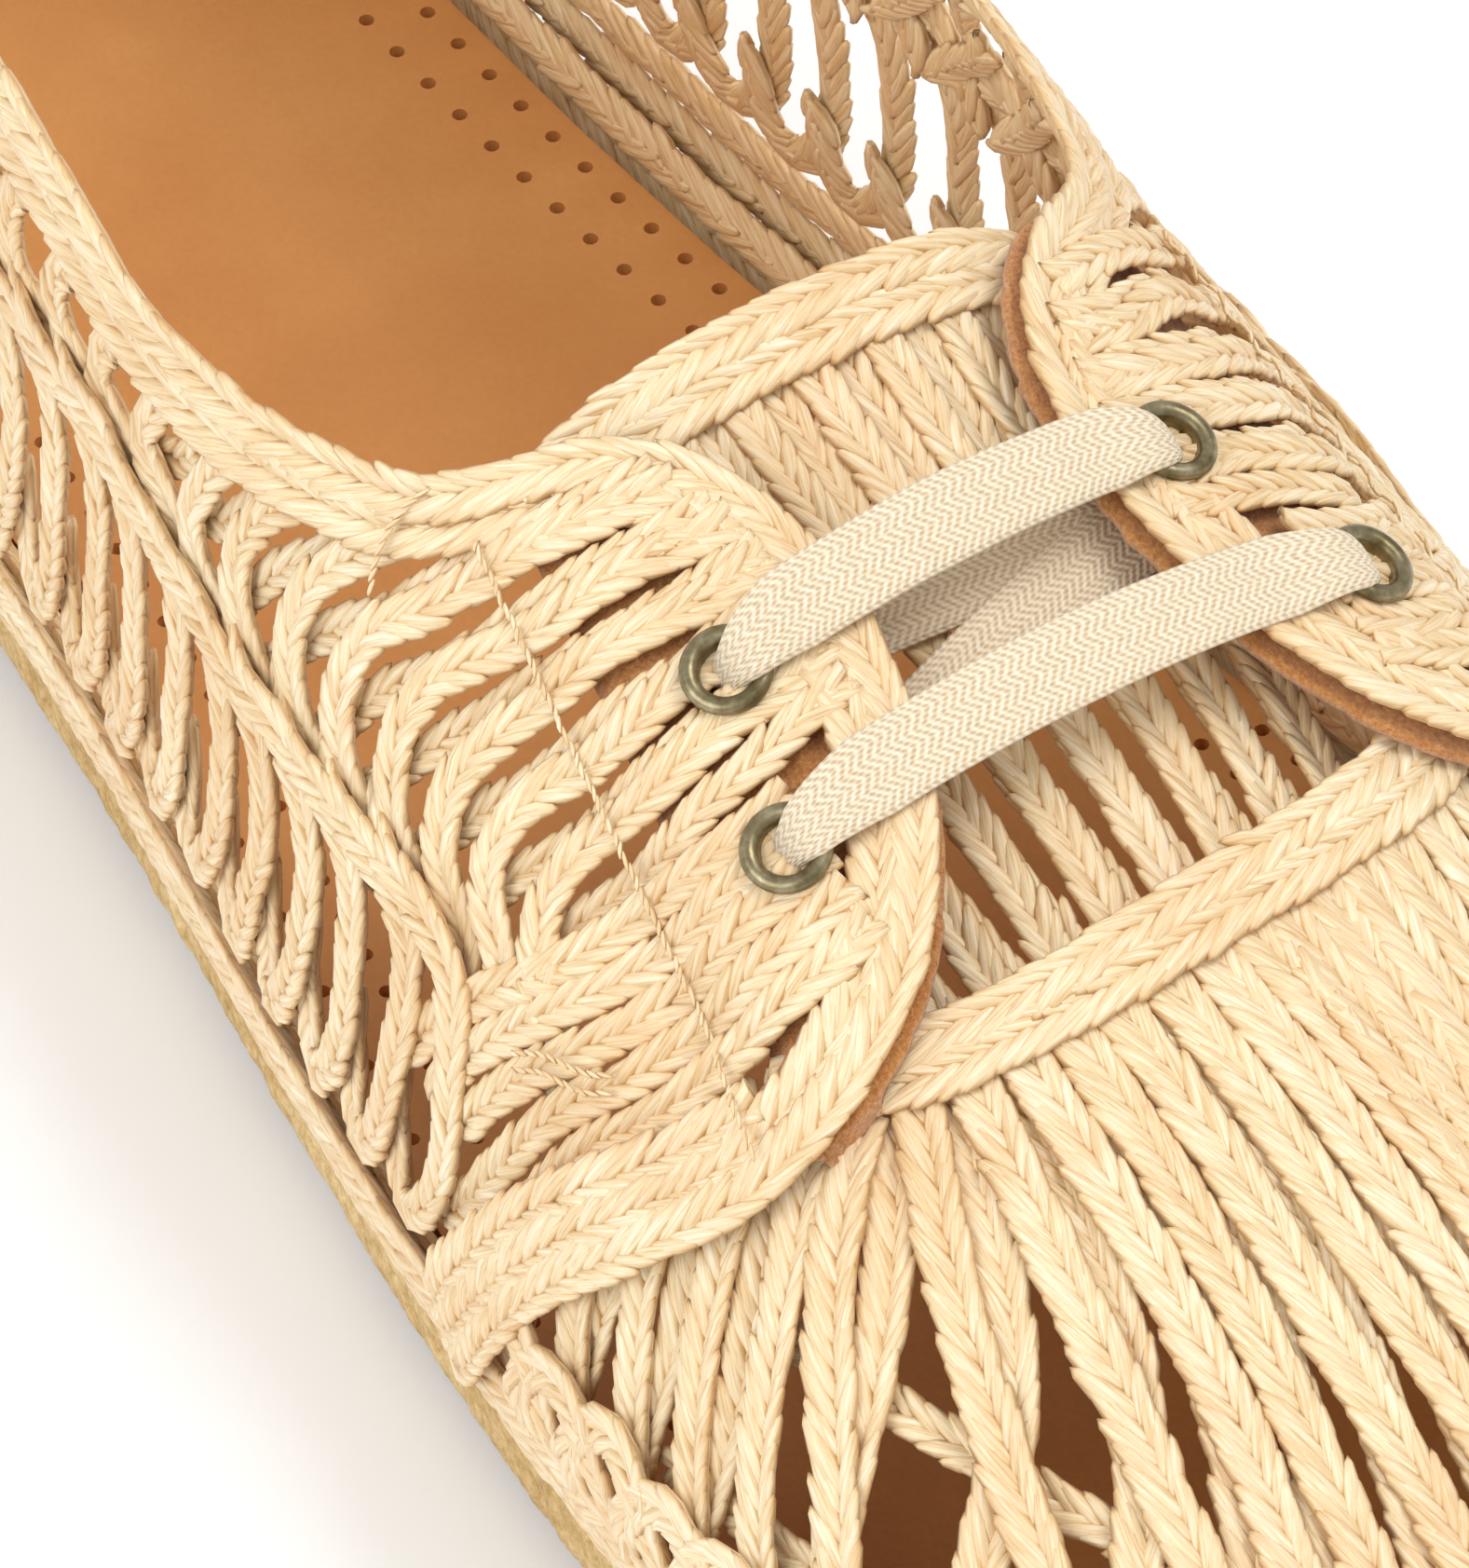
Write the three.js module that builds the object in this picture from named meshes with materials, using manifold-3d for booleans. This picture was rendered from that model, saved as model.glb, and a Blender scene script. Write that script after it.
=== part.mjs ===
// Lace-up espadrille, right shoe, in millimetres.
// +X heel to toe, +Y medial (inner) side, +Z up, the ground is the plane z = 0.
import * as THREE from 'three';
import Module from 'manifold-3d';

const wasm = await Module();
wasm.setup();

// Driving sizes
const LENGTH = 284;
const BALL_WIDTH = 97;
const INSTEP_HEIGHT = 63.5;
const SOLE_HEIGHT = 10;
const TOE_SPRING = 4;
const OUTSOLE_THICK = 3;
const INSOLE_THICK = 3.9;
const WALL = 2.0;
const GAP = 0.3;

// Upper's skin: the widest line stands above the feather edge, then tucks in below it.
const BULGE_HEIGHT = 11;
const TUCK = 4.5;
const TUCK_TURN = 65;
const HEEL_ROUND = 0.118 * LENGTH;
const TOE_ROUND = 0.29 * LENGTH;

// Plaits of the upper
const STRIPS = 84;
const HEEL_STRIPS = 6;
const HEEL_SHARE = 0.08;
const STRIP_CREST = 0.2;
const STRIP_VALLEY = -0.45;
const BAND_WIDTH = 6;
const BAND_RISE = 0.8;

// Sections of the last along its length. Widths and bias are shares of BALL_WIDTH, the ridge
// is a share of INSTEP_HEIGHT, and spring is a share of TOE_SPRING.
const SECTIONS = [
  { along: 0.0, lateral: 0.34, medial: 0.34, ridge: 1.638, bias: 0.0, square: 2.9, spring: 0 },
  { along: 0.2, lateral: 0.345, medial: 0.345, ridge: 1.56, bias: 0.005, square: 3.0, spring: 0 },
  { along: 0.35, lateral: 0.376, medial: 0.387, ridge: 1.449, bias: 0.02, square: 2.9, spring: 0 },
  { along: 0.5, lateral: 0.438, medial: 0.459, ridge: 1.197, bias: 0.041, square: 2.5, spring: 0 },
  { along: 0.65, lateral: 0.479, medial: 0.515, ridge: 1.0, bias: 0.052, square: 2.2, spring: 0 },
  { along: 0.8, lateral: 0.485, medial: 0.515, ridge: 0.787, bias: 0.052, square: 2.2, spring: 0.15 },
  { along: 0.92, lateral: 0.495, medial: 0.526, ridge: 0.661, bias: 0.052, square: 2.2, spring: 0.55 },
  { along: 1.0, lateral: 0.495, medial: 0.536, ridge: 0.614, bias: 0.052, square: 2.2, spring: 1.0 },
];

// Top edge of the upper, going round from the back of the heel by the lateral side.
// Climb is the angle up the section, 0 at the widest line and 90 at the ridge.
const TOP_EDGE = [
  { round: 0.0, climb: 29 },
  { round: 0.085, climb: 31 },
  { round: 0.17, climb: 34 },
  { round: 0.2, climb: 34.5 },
  { round: 0.22, climb: 41 },
  { round: 0.242, climb: 51 },
  { round: 0.257, climb: 57 },
  { round: 0.29, climb: 56 },
  { round: 0.32, climb: 54 },
  { round: 0.348, climb: 49 },
  { round: 0.358, climb: 52 },
  { round: 0.381, climb: 61.4 },
  { round: 0.4235, climb: 71.9 },
  { round: 0.4985, climb: 77.9 },
  { round: 0.578, climb: 73.4 },
  { round: 0.6333, climb: 60.4 },
  { round: 0.65, climb: 54 },
  { round: 0.68, climb: 55 },
  { round: 0.72, climb: 57 },
  { round: 0.74, climb: 57 },
  { round: 0.752, climb: 55 },
  { round: 0.77, climb: 48 },
  { round: 0.8, climb: 42 },
  { round: 0.83, climb: 36 },
  { round: 0.915, climb: 31 },
  { round: 1.0, climb: 29 },
];

// Facing tabs. The seam runs along the root of each tab, in shares of LENGTH and BALL_WIDTH.
const TABS = [
  { name: 'lateral', side: -1, back: 0.506, front: 0.697, seamBack: 0.255, seamFront: 0.325, reach: 0.216 },
  { name: 'medial', side: 1, back: 0.5, front: 0.697, seamBack: 0.345, seamFront: 0.395, reach: 0.225 },
];
const TAB_THICK = 2.0;
const TAB_RISE_BACK = 1.4;
const TAB_RISE_FRONT = 4.1;
const TAB_SQUARE = 2.2;
const BACKING_THICK = 0.8;
const BACKING_GAP = 0.6;
const BACKING_PEEK = 0.9;

// Eyelet centres, in shares of LENGTH and BALL_WIDTH
const EYELETS = [
  { name: 'lateral_rear', tab: 0, along: 0.5903, across: -0.188 },
  { name: 'lateral_front', tab: 0, along: 0.638, across: -0.221 },
  { name: 'medial_rear', tab: 1, along: 0.5903, across: 0.2145 },
  { name: 'medial_front', tab: 1, along: 0.638, across: 0.2876 },
];
const EYELET_RADIUS = 3.3;
const BARREL_RADIUS = 2.3;
const BORE_RADIUS = 1.95;
const FLANGE_THICK = 0.8;

const LACE_WIDTH = 5.2;
const LACE_THICK = 1.2;

const TONGUE_DROP = 4.1;
const TONGUE_THICK = 1.8;
const LINING_THICK = 1.2;

const rad = (degrees) => (degrees * Math.PI) / 180;
const lerp = (a, b, t) => a + (b - a) * t;
const clamp = (v, a, b) => Math.min(b, Math.max(a, v));
const smooth = (a, b, v) => {
  const t = clamp((v - a) / (b - a), 0, 1);
  return t * t * (3 - 2 * t);
};
const add = (a, b, k = 1) => a.map((v, i) => v + b[i] * k);
const sub = (a, b) => a.map((v, i) => v - b[i]);
const dot = (a, b) => a.reduce((sum, v, i) => sum + v * b[i], 0);
const cross = (a, b) => [
  a[1] * b[2] - a[2] * b[1],
  a[2] * b[0] - a[0] * b[2],
  a[0] * b[1] - a[1] * b[0],
];
const unit = (a) => {
  const size = Math.hypot(...a);
  return a.map((v) => v / size);
};

// Natural cubic spline through one column of a table.
function spline(rows, at, key) {
  const x = rows.map((row) => row[at]);
  const y = rows.map((row) => row[key]);
  const n = x.length;
  const bend = new Array(n).fill(0);
  const work = new Array(n).fill(0);
  for (let i = 1; i < n - 1; i += 1) {
    const share = (x[i] - x[i - 1]) / (x[i + 1] - x[i - 1]);
    const pivot = share * bend[i - 1] + 2;
    bend[i] = (share - 1) / pivot;
    const jump = (y[i + 1] - y[i]) / (x[i + 1] - x[i]) - (y[i] - y[i - 1]) / (x[i] - x[i - 1]);
    work[i] = ((6 * jump) / (x[i + 1] - x[i - 1]) - share * work[i - 1]) / pivot;
  }
  for (let i = n - 2; i >= 0; i -= 1) bend[i] = bend[i] * bend[i + 1] + work[i];
  return (value) => {
    const v = clamp(value, x[0], x[n - 1]);
    let i = 0;
    while (i < n - 2 && v > x[i + 1]) i += 1;
    const span = x[i + 1] - x[i];
    const b = (v - x[i]) / span;
    const a = 1 - b;
    const curve = ((a ** 3 - a) * bend[i] + (b ** 3 - b) * bend[i + 1]) * (span * span);
    return a * y[i] + b * y[i + 1] + curve / 6;
  };
}

// Straight interpolation in a table.
function follow(rows, at, key) {
  return (value) => {
    let i = 0;
    while (i < rows.length - 2 && value > rows[i + 1][at]) i += 1;
    const t = (value - rows[i][at]) / (rows[i + 1][at] - rows[i][at]);
    return lerp(rows[i][key], rows[i + 1][key], clamp(t, 0, 1));
  };
}

const column = {};
for (const key of ['lateral', 'medial', 'ridge', 'bias', 'square', 'spring']) {
  column[key] = spline(SECTIONS, 'along', key);
}
const lateral = (x) => column.lateral(x / LENGTH) * BALL_WIDTH;
const medial = (x) => column.medial(x / LENGTH) * BALL_WIDTH;
const bias = (x) => column.bias(x / LENGTH) * BALL_WIDTH;
const ridge = (x) => column.ridge(x / LENGTH) * INSTEP_HEIGHT;
const square = (x) => column.square(x / LENGTH);
const feather = (x) => SOLE_HEIGHT + Math.max(0, column.spring(x / LENGTH)) * TOE_SPRING;
const widest = (x) => feather(x) + BULGE_HEIGHT;

// How far a place has gone into the rounded heel or toe, 0 before it and 1 at the tip.
function rounding(x) {
  if (x < HEEL_ROUND) return (HEEL_ROUND - x) / HEEL_ROUND;
  if (x > LENGTH - TOE_ROUND) return (x - LENGTH + TOE_ROUND) / TOE_ROUND;
  return 0;
}

// Skin height over a place in plan.
function skinHeight(x, y) {
  const mid = bias(x);
  const reach = y < mid ? mid + lateral(x) : medial(x) - mid;
  const out = Math.min(1, Math.hypot((y - mid) / reach, rounding(x)));
  const power = square(x);
  return widest(x) + (ridge(x) - widest(x)) * Math.max(0, 1 - out ** power) ** (1 / power);
}

function skinNormal(x, y) {
  const step = 0.2;
  const dx = (skinHeight(x + step, y) - skinHeight(x - step, y)) / (2 * step);
  const dy = (skinHeight(x, y + step) - skinHeight(x, y - step)) / (2 * step);
  return unit([-dx, -dy, 1]);
}

// Widest outline, walked from the back of the heel round by the lateral side.
const WALK = 600;
const outline = [];
for (let i = 0; i <= 2 * WALK; i += 1) {
  const side = i <= WALK ? -1 : 1;
  const turn = i <= WALK ? i / WALK : 2 - i / WALK;
  const x = (LENGTH * (1 - Math.cos(Math.PI * turn))) / 2;
  const open = Math.sqrt(Math.max(0, 1 - rounding(x) ** 2));
  const mid = bias(x);
  const y = side < 0 ? mid - open * (mid + lateral(x)) : mid + open * (medial(x) - mid);
  const last = outline[outline.length - 1];
  const far = last ? last.far + Math.hypot(x - last.x, y - last.y) : 0;
  outline.push({ x, y, far });
}
const GIRTH = outline[outline.length - 1].far;

function edgeAt(round) {
  const goal = (round - Math.floor(round)) * GIRTH;
  let low = 0;
  let high = outline.length - 1;
  while (high - low > 1) {
    const mid = (low + high) >> 1;
    if (outline[mid].far > goal) high = mid;
    else low = mid;
  }
  const t = (goal - outline[low].far) / (outline[high].far - outline[low].far);
  return [lerp(outline[low].x, outline[high].x, t), lerp(outline[low].y, outline[high].y, t)];
}

function edgeInward(round) {
  const step = 0.5 / GIRTH;
  const along = unit(sub(edgeAt(round + step), edgeAt(round - step)));
  return [-along[1], along[0]];
}

// Each section climbs from the outline to its own place on the ridge.
const HEEL_POLE = 0.14 * LENGTH;
const TOE_POLE = 0.6 * LENGTH;
const FAN_START = 0.44 * LENGTH;
function ridgeFor(edge) {
  let x = Math.max(HEEL_POLE, edge[0]);
  if (edge[0] > FAN_START) {
    const t = (edge[0] - FAN_START) / (LENGTH - FAN_START);
    x = FAN_START + (TOE_POLE - FAN_START) * (1 - (1 - t) ** 2.2);
  }
  return [x, bias(x)];
}

// Skin point at a place round the outline and an angle up the section.
function skinAt(round, climb) {
  const edge = edgeAt(round);
  if (climb <= 0) {
    const turn = rad(-climb);
    const inset = (TUCK * (1 - Math.cos(turn))) / (1 - Math.cos(rad(TUCK_TURN)));
    const drop = (BULGE_HEIGHT * Math.sin(turn)) / Math.sin(rad(TUCK_TURN));
    return [...add(edge, edgeInward(round), inset), widest(edge[0]) - drop];
  }
  const top = ridgeFor(edge);
  const share = 1 - Math.cos(rad(climb)) ** (2 / square(edge[0]));
  const place = add(edge, sub(top, edge), share);
  return [...place, skinHeight(...place)];
}

function skinOut(round, climb) {
  const step = 0.4 / GIRTH;
  const along = sub(skinAt(round + step, climb), skinAt(round - step, climb));
  const up = sub(skinAt(round, climb + 0.5), skinAt(round, climb - 0.5));
  return unit(cross(along, up));
}

// One section of the skin as lengths along it, from the feather edge up.
function section(round, lean, top) {
  const steps = 48;
  const line = [];
  let far = 0;
  for (let i = 0; i <= steps; i += 1) {
    const t = i / steps;
    const climb = lerp(-TUCK_TURN, top, t);
    const here = round + lean(t);
    const point = skinAt(here, climb);
    if (i > 0) far += Math.hypot(...sub(point, line[i - 1].point));
    line.push({ here, climb, point, far });
  }
  return { line, total: far };
}

function onSection(cut, far) {
  const line = cut.line;
  let i = 0;
  while (i < line.length - 2 && far > line[i + 1].far) i += 1;
  const t = clamp((far - line[i].far) / (line[i + 1].far - line[i].far), 0, 1);
  const here = lerp(line[i].here, line[i + 1].here, t);
  const climb = lerp(line[i].climb, line[i + 1].climb, t);
  return { here, climb, point: skinAt(here, climb), out: skinOut(here, climb) };
}

// Closed triangle meshes
function finish(points, faces) {
  let volume = 0;
  for (const [a, b, c] of faces) volume += dot(points[a], cross(points[b], points[c]));
  return { points, faces: volume < 0 ? faces.map(([a, b, c]) => [a, c, b]) : faces };
}

// A ring wall whose inner grid has one column for each few of the outer grid.
function ringWall(outer, inner) {
  const columns = outer.length;
  const few = columns / inner.length;
  const rows = outer[0].length;
  const points = [...outer.flat(), ...inner.flat()];
  const faces = [];
  const out = (i, j) => (i % columns) * rows + j;
  const within = (i, j) => (columns + (i % inner.length)) * rows + j;
  const quad = (a, b, c, d) => faces.push([a, b, c], [a, c, d]);
  for (let j = 0; j < rows - 1; j += 1) {
    for (let i = 0; i < columns; i += 1) {
      quad(out(i, j), out(i + 1, j), out(i + 1, j + 1), out(i, j + 1));
    }
    for (let i = 0; i < inner.length; i += 1) {
      quad(within(i, j), within(i, j + 1), within(i + 1, j + 1), within(i + 1, j));
    }
  }
  for (let i = 0; i < inner.length; i += 1) {
    const half = i * few + Math.floor(few / 2);
    for (const j of [0, rows - 1]) {
      const rim = (a, b, c) => faces.push(j ? [a, b, c] : [a, c, b]);
      for (let k = i * few; k < (i + 1) * few; k += 1) {
        rim(out(k, j), out(k + 1, j), within(k < half ? i : i + 1, j));
      }
      rim(within(i, j), out(half, j), within(i + 1, j));
    }
  }
  return finish(points, faces);
}

// A plate between two grids of points.
function plate(outer, inner) {
  const columns = outer.length;
  const rows = outer[0].length;
  const points = [...outer.flat(), ...inner.flat()];
  const faces = [];
  const quad = (a, b, c, d) => faces.push([a, b, c], [a, c, d]);
  const at = (i, j, k) => k * columns * rows + i * rows + j;
  const end = columns - 1;
  const top = rows - 1;
  for (let i = 0; i < end; i += 1) {
    for (let j = 0; j < top; j += 1) {
      quad(at(i, j, 0), at(i + 1, j, 0), at(i + 1, j + 1, 0), at(i, j + 1, 0));
      quad(at(i, j, 1), at(i, j + 1, 1), at(i + 1, j + 1, 1), at(i + 1, j, 1));
    }
    quad(at(i, 0, 0), at(i, 0, 1), at(i + 1, 0, 1), at(i + 1, 0, 0));
    quad(at(i, top, 0), at(i + 1, top, 0), at(i + 1, top, 1), at(i, top, 1));
  }
  for (let j = 0; j < top; j += 1) {
    quad(at(0, j, 0), at(0, j + 1, 0), at(0, j + 1, 1), at(0, j, 1));
    quad(at(end, j, 0), at(end, j, 1), at(end, j + 1, 1), at(end, j + 1, 0));
  }
  return finish(points, faces);
}

function toSolid(mesh) {
  return new wasm.Manifold(new wasm.Mesh({
    numProp: 3,
    vertProperties: new Float32Array(mesh.points.flat()),
    triVerts: new Uint32Array(mesh.faces.flat()),
  }));
}

function toGeometry(mesh) {
  const geometry = new THREE.BufferGeometry();
  geometry.setAttribute('position', new THREE.Float32BufferAttribute(mesh.points.flat(), 3));
  geometry.setIndex(mesh.faces.flat());
  geometry.computeVertexNormals();
  return geometry;
}

function solidGeometry(solid) {
  const mesh = solid.getMesh();
  const geometry = new THREE.BufferGeometry();
  const places = new Float32Array(mesh.vertProperties);
  geometry.setAttribute('position', new THREE.BufferAttribute(places, 3));
  geometry.setIndex(new THREE.BufferAttribute(new Uint32Array(mesh.triVerts), 1));
  geometry.computeVertexNormals();
  return geometry;
}

// Upper
const topEdge = follow(TOP_EDGE, 'round', 'climb');
const tabSeam = (tab, x) => {
  const t = (x / LENGTH - tab.back) / (tab.front - tab.back);
  return lerp(tab.seamBack, tab.seamFront, t) * BALL_WIDTH;
};

const SEAM_LEAD = 0.014;
// The top edge follows the table, and along the root of a facing tab it follows that seam.
function topClimb(round) {
  const table = topEdge(round);
  const tab = TABS[round < 0.5 ? 0 : 1];
  let low = 0;
  let high = 85;
  for (let i = 0; i < 30; i += 1) {
    const mid = (low + high) / 2;
    const [x, y] = skinAt(round, mid);
    if (tab.side * y > tabSeam(tab, x)) low = mid;
    else high = mid;
  }
  const x = skinAt(round, low)[0] / LENGTH;
  return x > tab.back - SEAM_LEAD && x < tab.front ? Math.min(low, table) : table;
}

const sideShare = (round) => smooth(0.08, 0.14, round) * (1 - smooth(0.27, 0.36, round))
  + smooth(0.64, 0.73, round) * (1 - smooth(0.86, 0.92, round));
const LEAN = 9;
function leanFor(round) {
  const way = round < 0.5 ? 1 : -1;
  const size = (way * LEAN * sideShare(round)) / GIRTH;
  return (t) => size * (t - 0.5);
}

// Strips are spread evenly, but for wider ones round the back of the heel.
function stripRound(index) {
  if (index < HEEL_STRIPS) return (index / HEEL_STRIPS) * HEEL_SHARE;
  if (index > STRIPS - HEEL_STRIPS) return 1 - ((STRIPS - index) / HEEL_STRIPS) * HEEL_SHARE;
  const t = (index - HEEL_STRIPS) / (STRIPS - 2 * HEEL_STRIPS);
  return lerp(HEEL_SHARE, 1 - HEEL_SHARE, t);
}

function strip(index) {
  const round = stripRound(index);
  const lean = leanFor(round);
  const top = round + lean(1);
  return section(round, lean, topClimb(top - Math.floor(top)));
}

// The band round the top stays low where the facing tabs lie.
const bandShare = (round) => 1
  - smooth(0.235, 0.26, round) * (1 - smooth(0.375, 0.4, round))
  - smooth(0.6, 0.625, round) * (1 - smooth(0.75, 0.775, round));

// Rows of the wall from the feather edge up: a low edge, the strips and the band.
function wallRows(cut) {
  const clear = cut.total - BAND_WIDTH - 1;
  const body = [0, 0.14, 0.34, 0.64, 1].map((share) => ({ far: lerp(4, clear, share), part: 'strip' }));
  return [
    { far: 0, part: 'edge' },
    ...body,
    { far: cut.total - BAND_WIDTH + 1, part: 'band' },
    { far: cut.total - 1.2, part: 'band' },
    { far: cut.total, part: 'edge' },
  ];
}

const INNER_EVERY = 4;
function upperSolid() {
  const outer = [];
  const inner = [];
  for (let i = 0; i < 2 * STRIPS; i += 1) {
    const cut = strip(i / 2);
    const rise = {
      edge: 0,
      strip: i % 2 ? STRIP_VALLEY : STRIP_CREST,
      band: BAND_RISE * bandShare(stripRound(i / 2)),
    };
    const spots = wallRows(cut).map((row) => ({ ...onSection(cut, row.far), rise: rise[row.part] }));
    outer.push(spots.map((spot) => add(spot.point, spot.out, spot.rise)));
    if (i % INNER_EVERY === 0) inner.push(spots.map((spot) => add(spot.point, spot.out, -WALL)));
  }
  return toSolid(ringWall(outer, inner));
}

// Openings between the plaits, as rows of lens shapes that lie along the strips. Height is the
// middle of a row over the feather edge, as a share of the section.
const GAP_ROWS = [
  { name: 'lower lattice', from: 0.09, to: 0.305, height: 0.47, long: 14, wide: 3.8 },
  { name: 'upper lattice', from: 0.09, to: 0.225, height: 0.8, long: 7.5, wide: 2.8 },
  { name: 'fan', from: 0.325, to: 0.65, height: 0.4, long: 15, wide: 2.7 },
  { name: 'lower lattice', from: 0.67, to: 0.9, height: 0.47, long: 14, wide: 4.0 },
  { name: 'upper lattice', from: 0.775, to: 0.9, height: 0.8, long: 7.5, wide: 2.8 },
];

function gapCutter(row, index) {
  const cut = strip(index + 0.5);
  const middle = onSection(cut, cut.total * row.height);
  const next = onSection(cut, cut.total * row.height + 2);
  const along = unit(sub(next.point, middle.point));
  const across = cross(middle.out, along);
  const lens = [[0.5, 0], [0.2, 0.5], [-0.2, 0.5], [-0.5, 0], [-0.2, -0.5], [0.2, -0.5]];
  const diamond = [[0.5, 0], [0, 0.5], [-0.5, 0], [0, -0.5]];
  const corners = row.name === 'fan' ? lens : diamond;
  const points = [];
  for (const depth of [-WALL - 2.5, 2.5]) {
    for (const [a, b] of corners) {
      const foot = add(middle.point, along, a * row.long);
      points.push(add(add(foot, across, b * row.wide), middle.out, depth));
    }
  }
  return wasm.Manifold.hull(points);
}

function gapCutters() {
  const cutters = [];
  for (const row of GAP_ROWS) {
    for (let i = 0; i < STRIPS; i += 1) {
      const round = stripRound(i + 0.5);
      if (round > row.from && round < row.to) cutters.push(gapCutter(row, i));
    }
  }
  return wasm.Manifold.union(cutters);
}

// Facing tabs and their backings, over the same skin
function tabSpot(tab, along, reach) {
  const t = clamp(along, 0, 1);
  const x = lerp(tab.back, tab.front, t) * LENGTH;
  const seam = tabSeam(tab, x);
  const bow = 1 - Math.abs(2 * t - 1) ** TAB_SQUARE;
  const wide = tab.reach * BALL_WIDTH * Math.max(0, bow) ** (1 / TAB_SQUARE);
  return { x, seam, wide, y: tab.side * (seam - wide * reach) };
}

function tabRise(along, reach) {
  const rise = lerp(TAB_RISE_BACK, TAB_RISE_FRONT, smooth(0.05, 0.75, along));
  return Math.max(smooth(-0.02, 0.3, reach), smooth(0.82, 0.93, along)) * rise;
}

function tabGrid(tab, options) {
  const along = [];
  const columns = options.columns;
  for (let i = 0; i <= columns; i += 1) {
    along.push(0.5 - 0.5 * Math.cos(lerp(0.14, Math.PI - 0.14, i / columns)));
  }
  const across = options.across;
  return (drop) => along.map((a) => across.map((share) => {
    const spot = tabSpot(tab, a, 1);
    const y = tab.side * lerp(spot.seam - options.root, spot.seam - spot.wide - options.peek, share);
    const x = spot.x + options.peek * smooth(0.6, 1, a) * smooth(0.1, 0.5, share);
    const reach = spot.wide > 0.5 ? (spot.seam - Math.abs(y)) / (tab.reach * BALL_WIDTH) : 0;
    const base = [x, y, skinHeight(x, y)];
    return add(base, skinNormal(x, y), tabRise(a, reach) - drop);
  }));
}

const TAB_MESH = { columns: 14, across: [0, 0.12, 0.24, 0.4, 0.7, 1] };
const BACKING_MESH = { columns: 14, across: [0, 0.12, 0.3, 1] };
function tabPlate(tab, options, top, thick) {
  const grid = tabGrid(tab, options);
  return toSolid(plate(grid(top), grid(top + thick)));
}

// The quarter's edge band runs on from the front of each tab, down to the feather edge.
const QUARTER_BAND = [
  { share: 0, round: 0.3515, climb: 49 },
  { share: 0.3, round: 0.337, climb: 39.5 },
  { share: 0.55, round: 0.3225, climb: 29 },
  { share: 0.78, round: 0.308, climb: 15 },
  { share: 1, round: 0.291, climb: -9 },
];
const QUARTER_BAND_WIDTH = 6.4;
const QUARTER_BAND_THICK = 1.9;

function quarterBand(tab) {
  const roundAt = follow(QUARTER_BAND, 'share', 'round');
  const climbAt = follow(QUARTER_BAND, 'share', 'climb');
  const spot = (t) => {
    const round = tab.side < 0 ? roundAt(t) : 1 - roundAt(t);
    return { point: skinAt(round, climbAt(t)), out: skinOut(round, climbAt(t)) };
  };
  const steps = 9;
  const outer = [];
  const inner = [];
  for (let i = 0; i <= steps; i += 1) {
    const t = i / steps;
    const here = spot(t);
    const run = unit(sub(spot(Math.min(1, t + 0.02)).point, spot(Math.max(0, t - 0.02)).point));
    const side = unit(cross(here.out, run));
    const reach = tabRise(1, 1) - TAB_THICK;
    const foot = lerp(reach, STRIP_CREST + 2 * GAP, smooth(0, 0.3, t));
    const line = [-0.5, 0, 0.5].map((share) => add(here.point, side, share * QUARTER_BAND_WIDTH));
    const bow = [0.15, 0, 0.15];
    outer.push(line.map((p, k) => add(p, here.out, foot + QUARTER_BAND_THICK - bow[k])));
    inner.push(line.map((p, k) => add(p, here.out, foot + bow[k])));
  }
  return toSolid(plate(outer, inner));
}

function eyeletSeat(eyelet) {
  const tab = TABS[eyelet.tab];
  const x = eyelet.along * LENGTH;
  const y = eyelet.across * BALL_WIDTH;
  const along = (eyelet.along - tab.back) / (tab.front - tab.back);
  const seam = tabSeam(tab, x);
  const reach = (seam - Math.abs(y)) / (tab.reach * BALL_WIDTH);
  const out = skinNormal(x, y);
  const top = add([x, y, skinHeight(x, y)], out, tabRise(along, reach));
  return { top, out, rise: tabRise(along, reach) };
}

function ringSide(seat, angle) {
  const side = unit(cross(seat.out, [1, 0, 0]));
  const fore = cross(side, seat.out);
  return add(side.map((v) => v * Math.cos(angle)), fore, Math.sin(angle));
}

// A turned piece on an eyelet's own axis, from pairs of radius and height.
function turned(seat, profile, sides) {
  const points = [];
  const faces = [];
  const n = profile.length;
  for (let k = 0; k < sides; k += 1) {
    const spoke = ringSide(seat, (2 * Math.PI * k) / sides);
    for (const [radius, height] of profile) {
      points.push(add(add(seat.top, spoke, radius), seat.out, height));
    }
    const next = (k + 1) % sides;
    for (let j = 0; j < n; j += 1) {
      const m = (j + 1) % n;
      faces.push([k * n + j, next * n + j, next * n + m], [k * n + j, next * n + m, k * n + m]);
    }
  }
  return toSolid(finish(points, faces));
}

const EYELET_FOOT = TAB_THICK + BACKING_THICK + BACKING_GAP + GAP;
const seats = EYELETS.map(eyeletSeat);

function boreCutter(seat) {
  const radius = BARREL_RADIUS + GAP + 0.05;
  const points = [];
  for (let k = 0; k < 14; k += 1) {
    const foot = add(seat.top, ringSide(seat, (2 * Math.PI * k) / 14), radius);
    points.push(add(foot, seat.out, -8), add(foot, seat.out, 5));
  }
  return wasm.Manifold.hull(points);
}

function eyeletSolid(seat) {
  const lift = GAP + 0.25;
  const profile = [
    [BORE_RADIUS, -EYELET_FOOT],
    [BARREL_RADIUS, -EYELET_FOOT],
    [BARREL_RADIUS, lift],
    [EYELET_RADIUS, lift],
    [EYELET_RADIUS - 0.5, lift + FLANGE_THICK],
    [BORE_RADIUS, lift + FLANGE_THICK * 0.7],
  ];
  return turned(seat, profile, 14);
}

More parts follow.
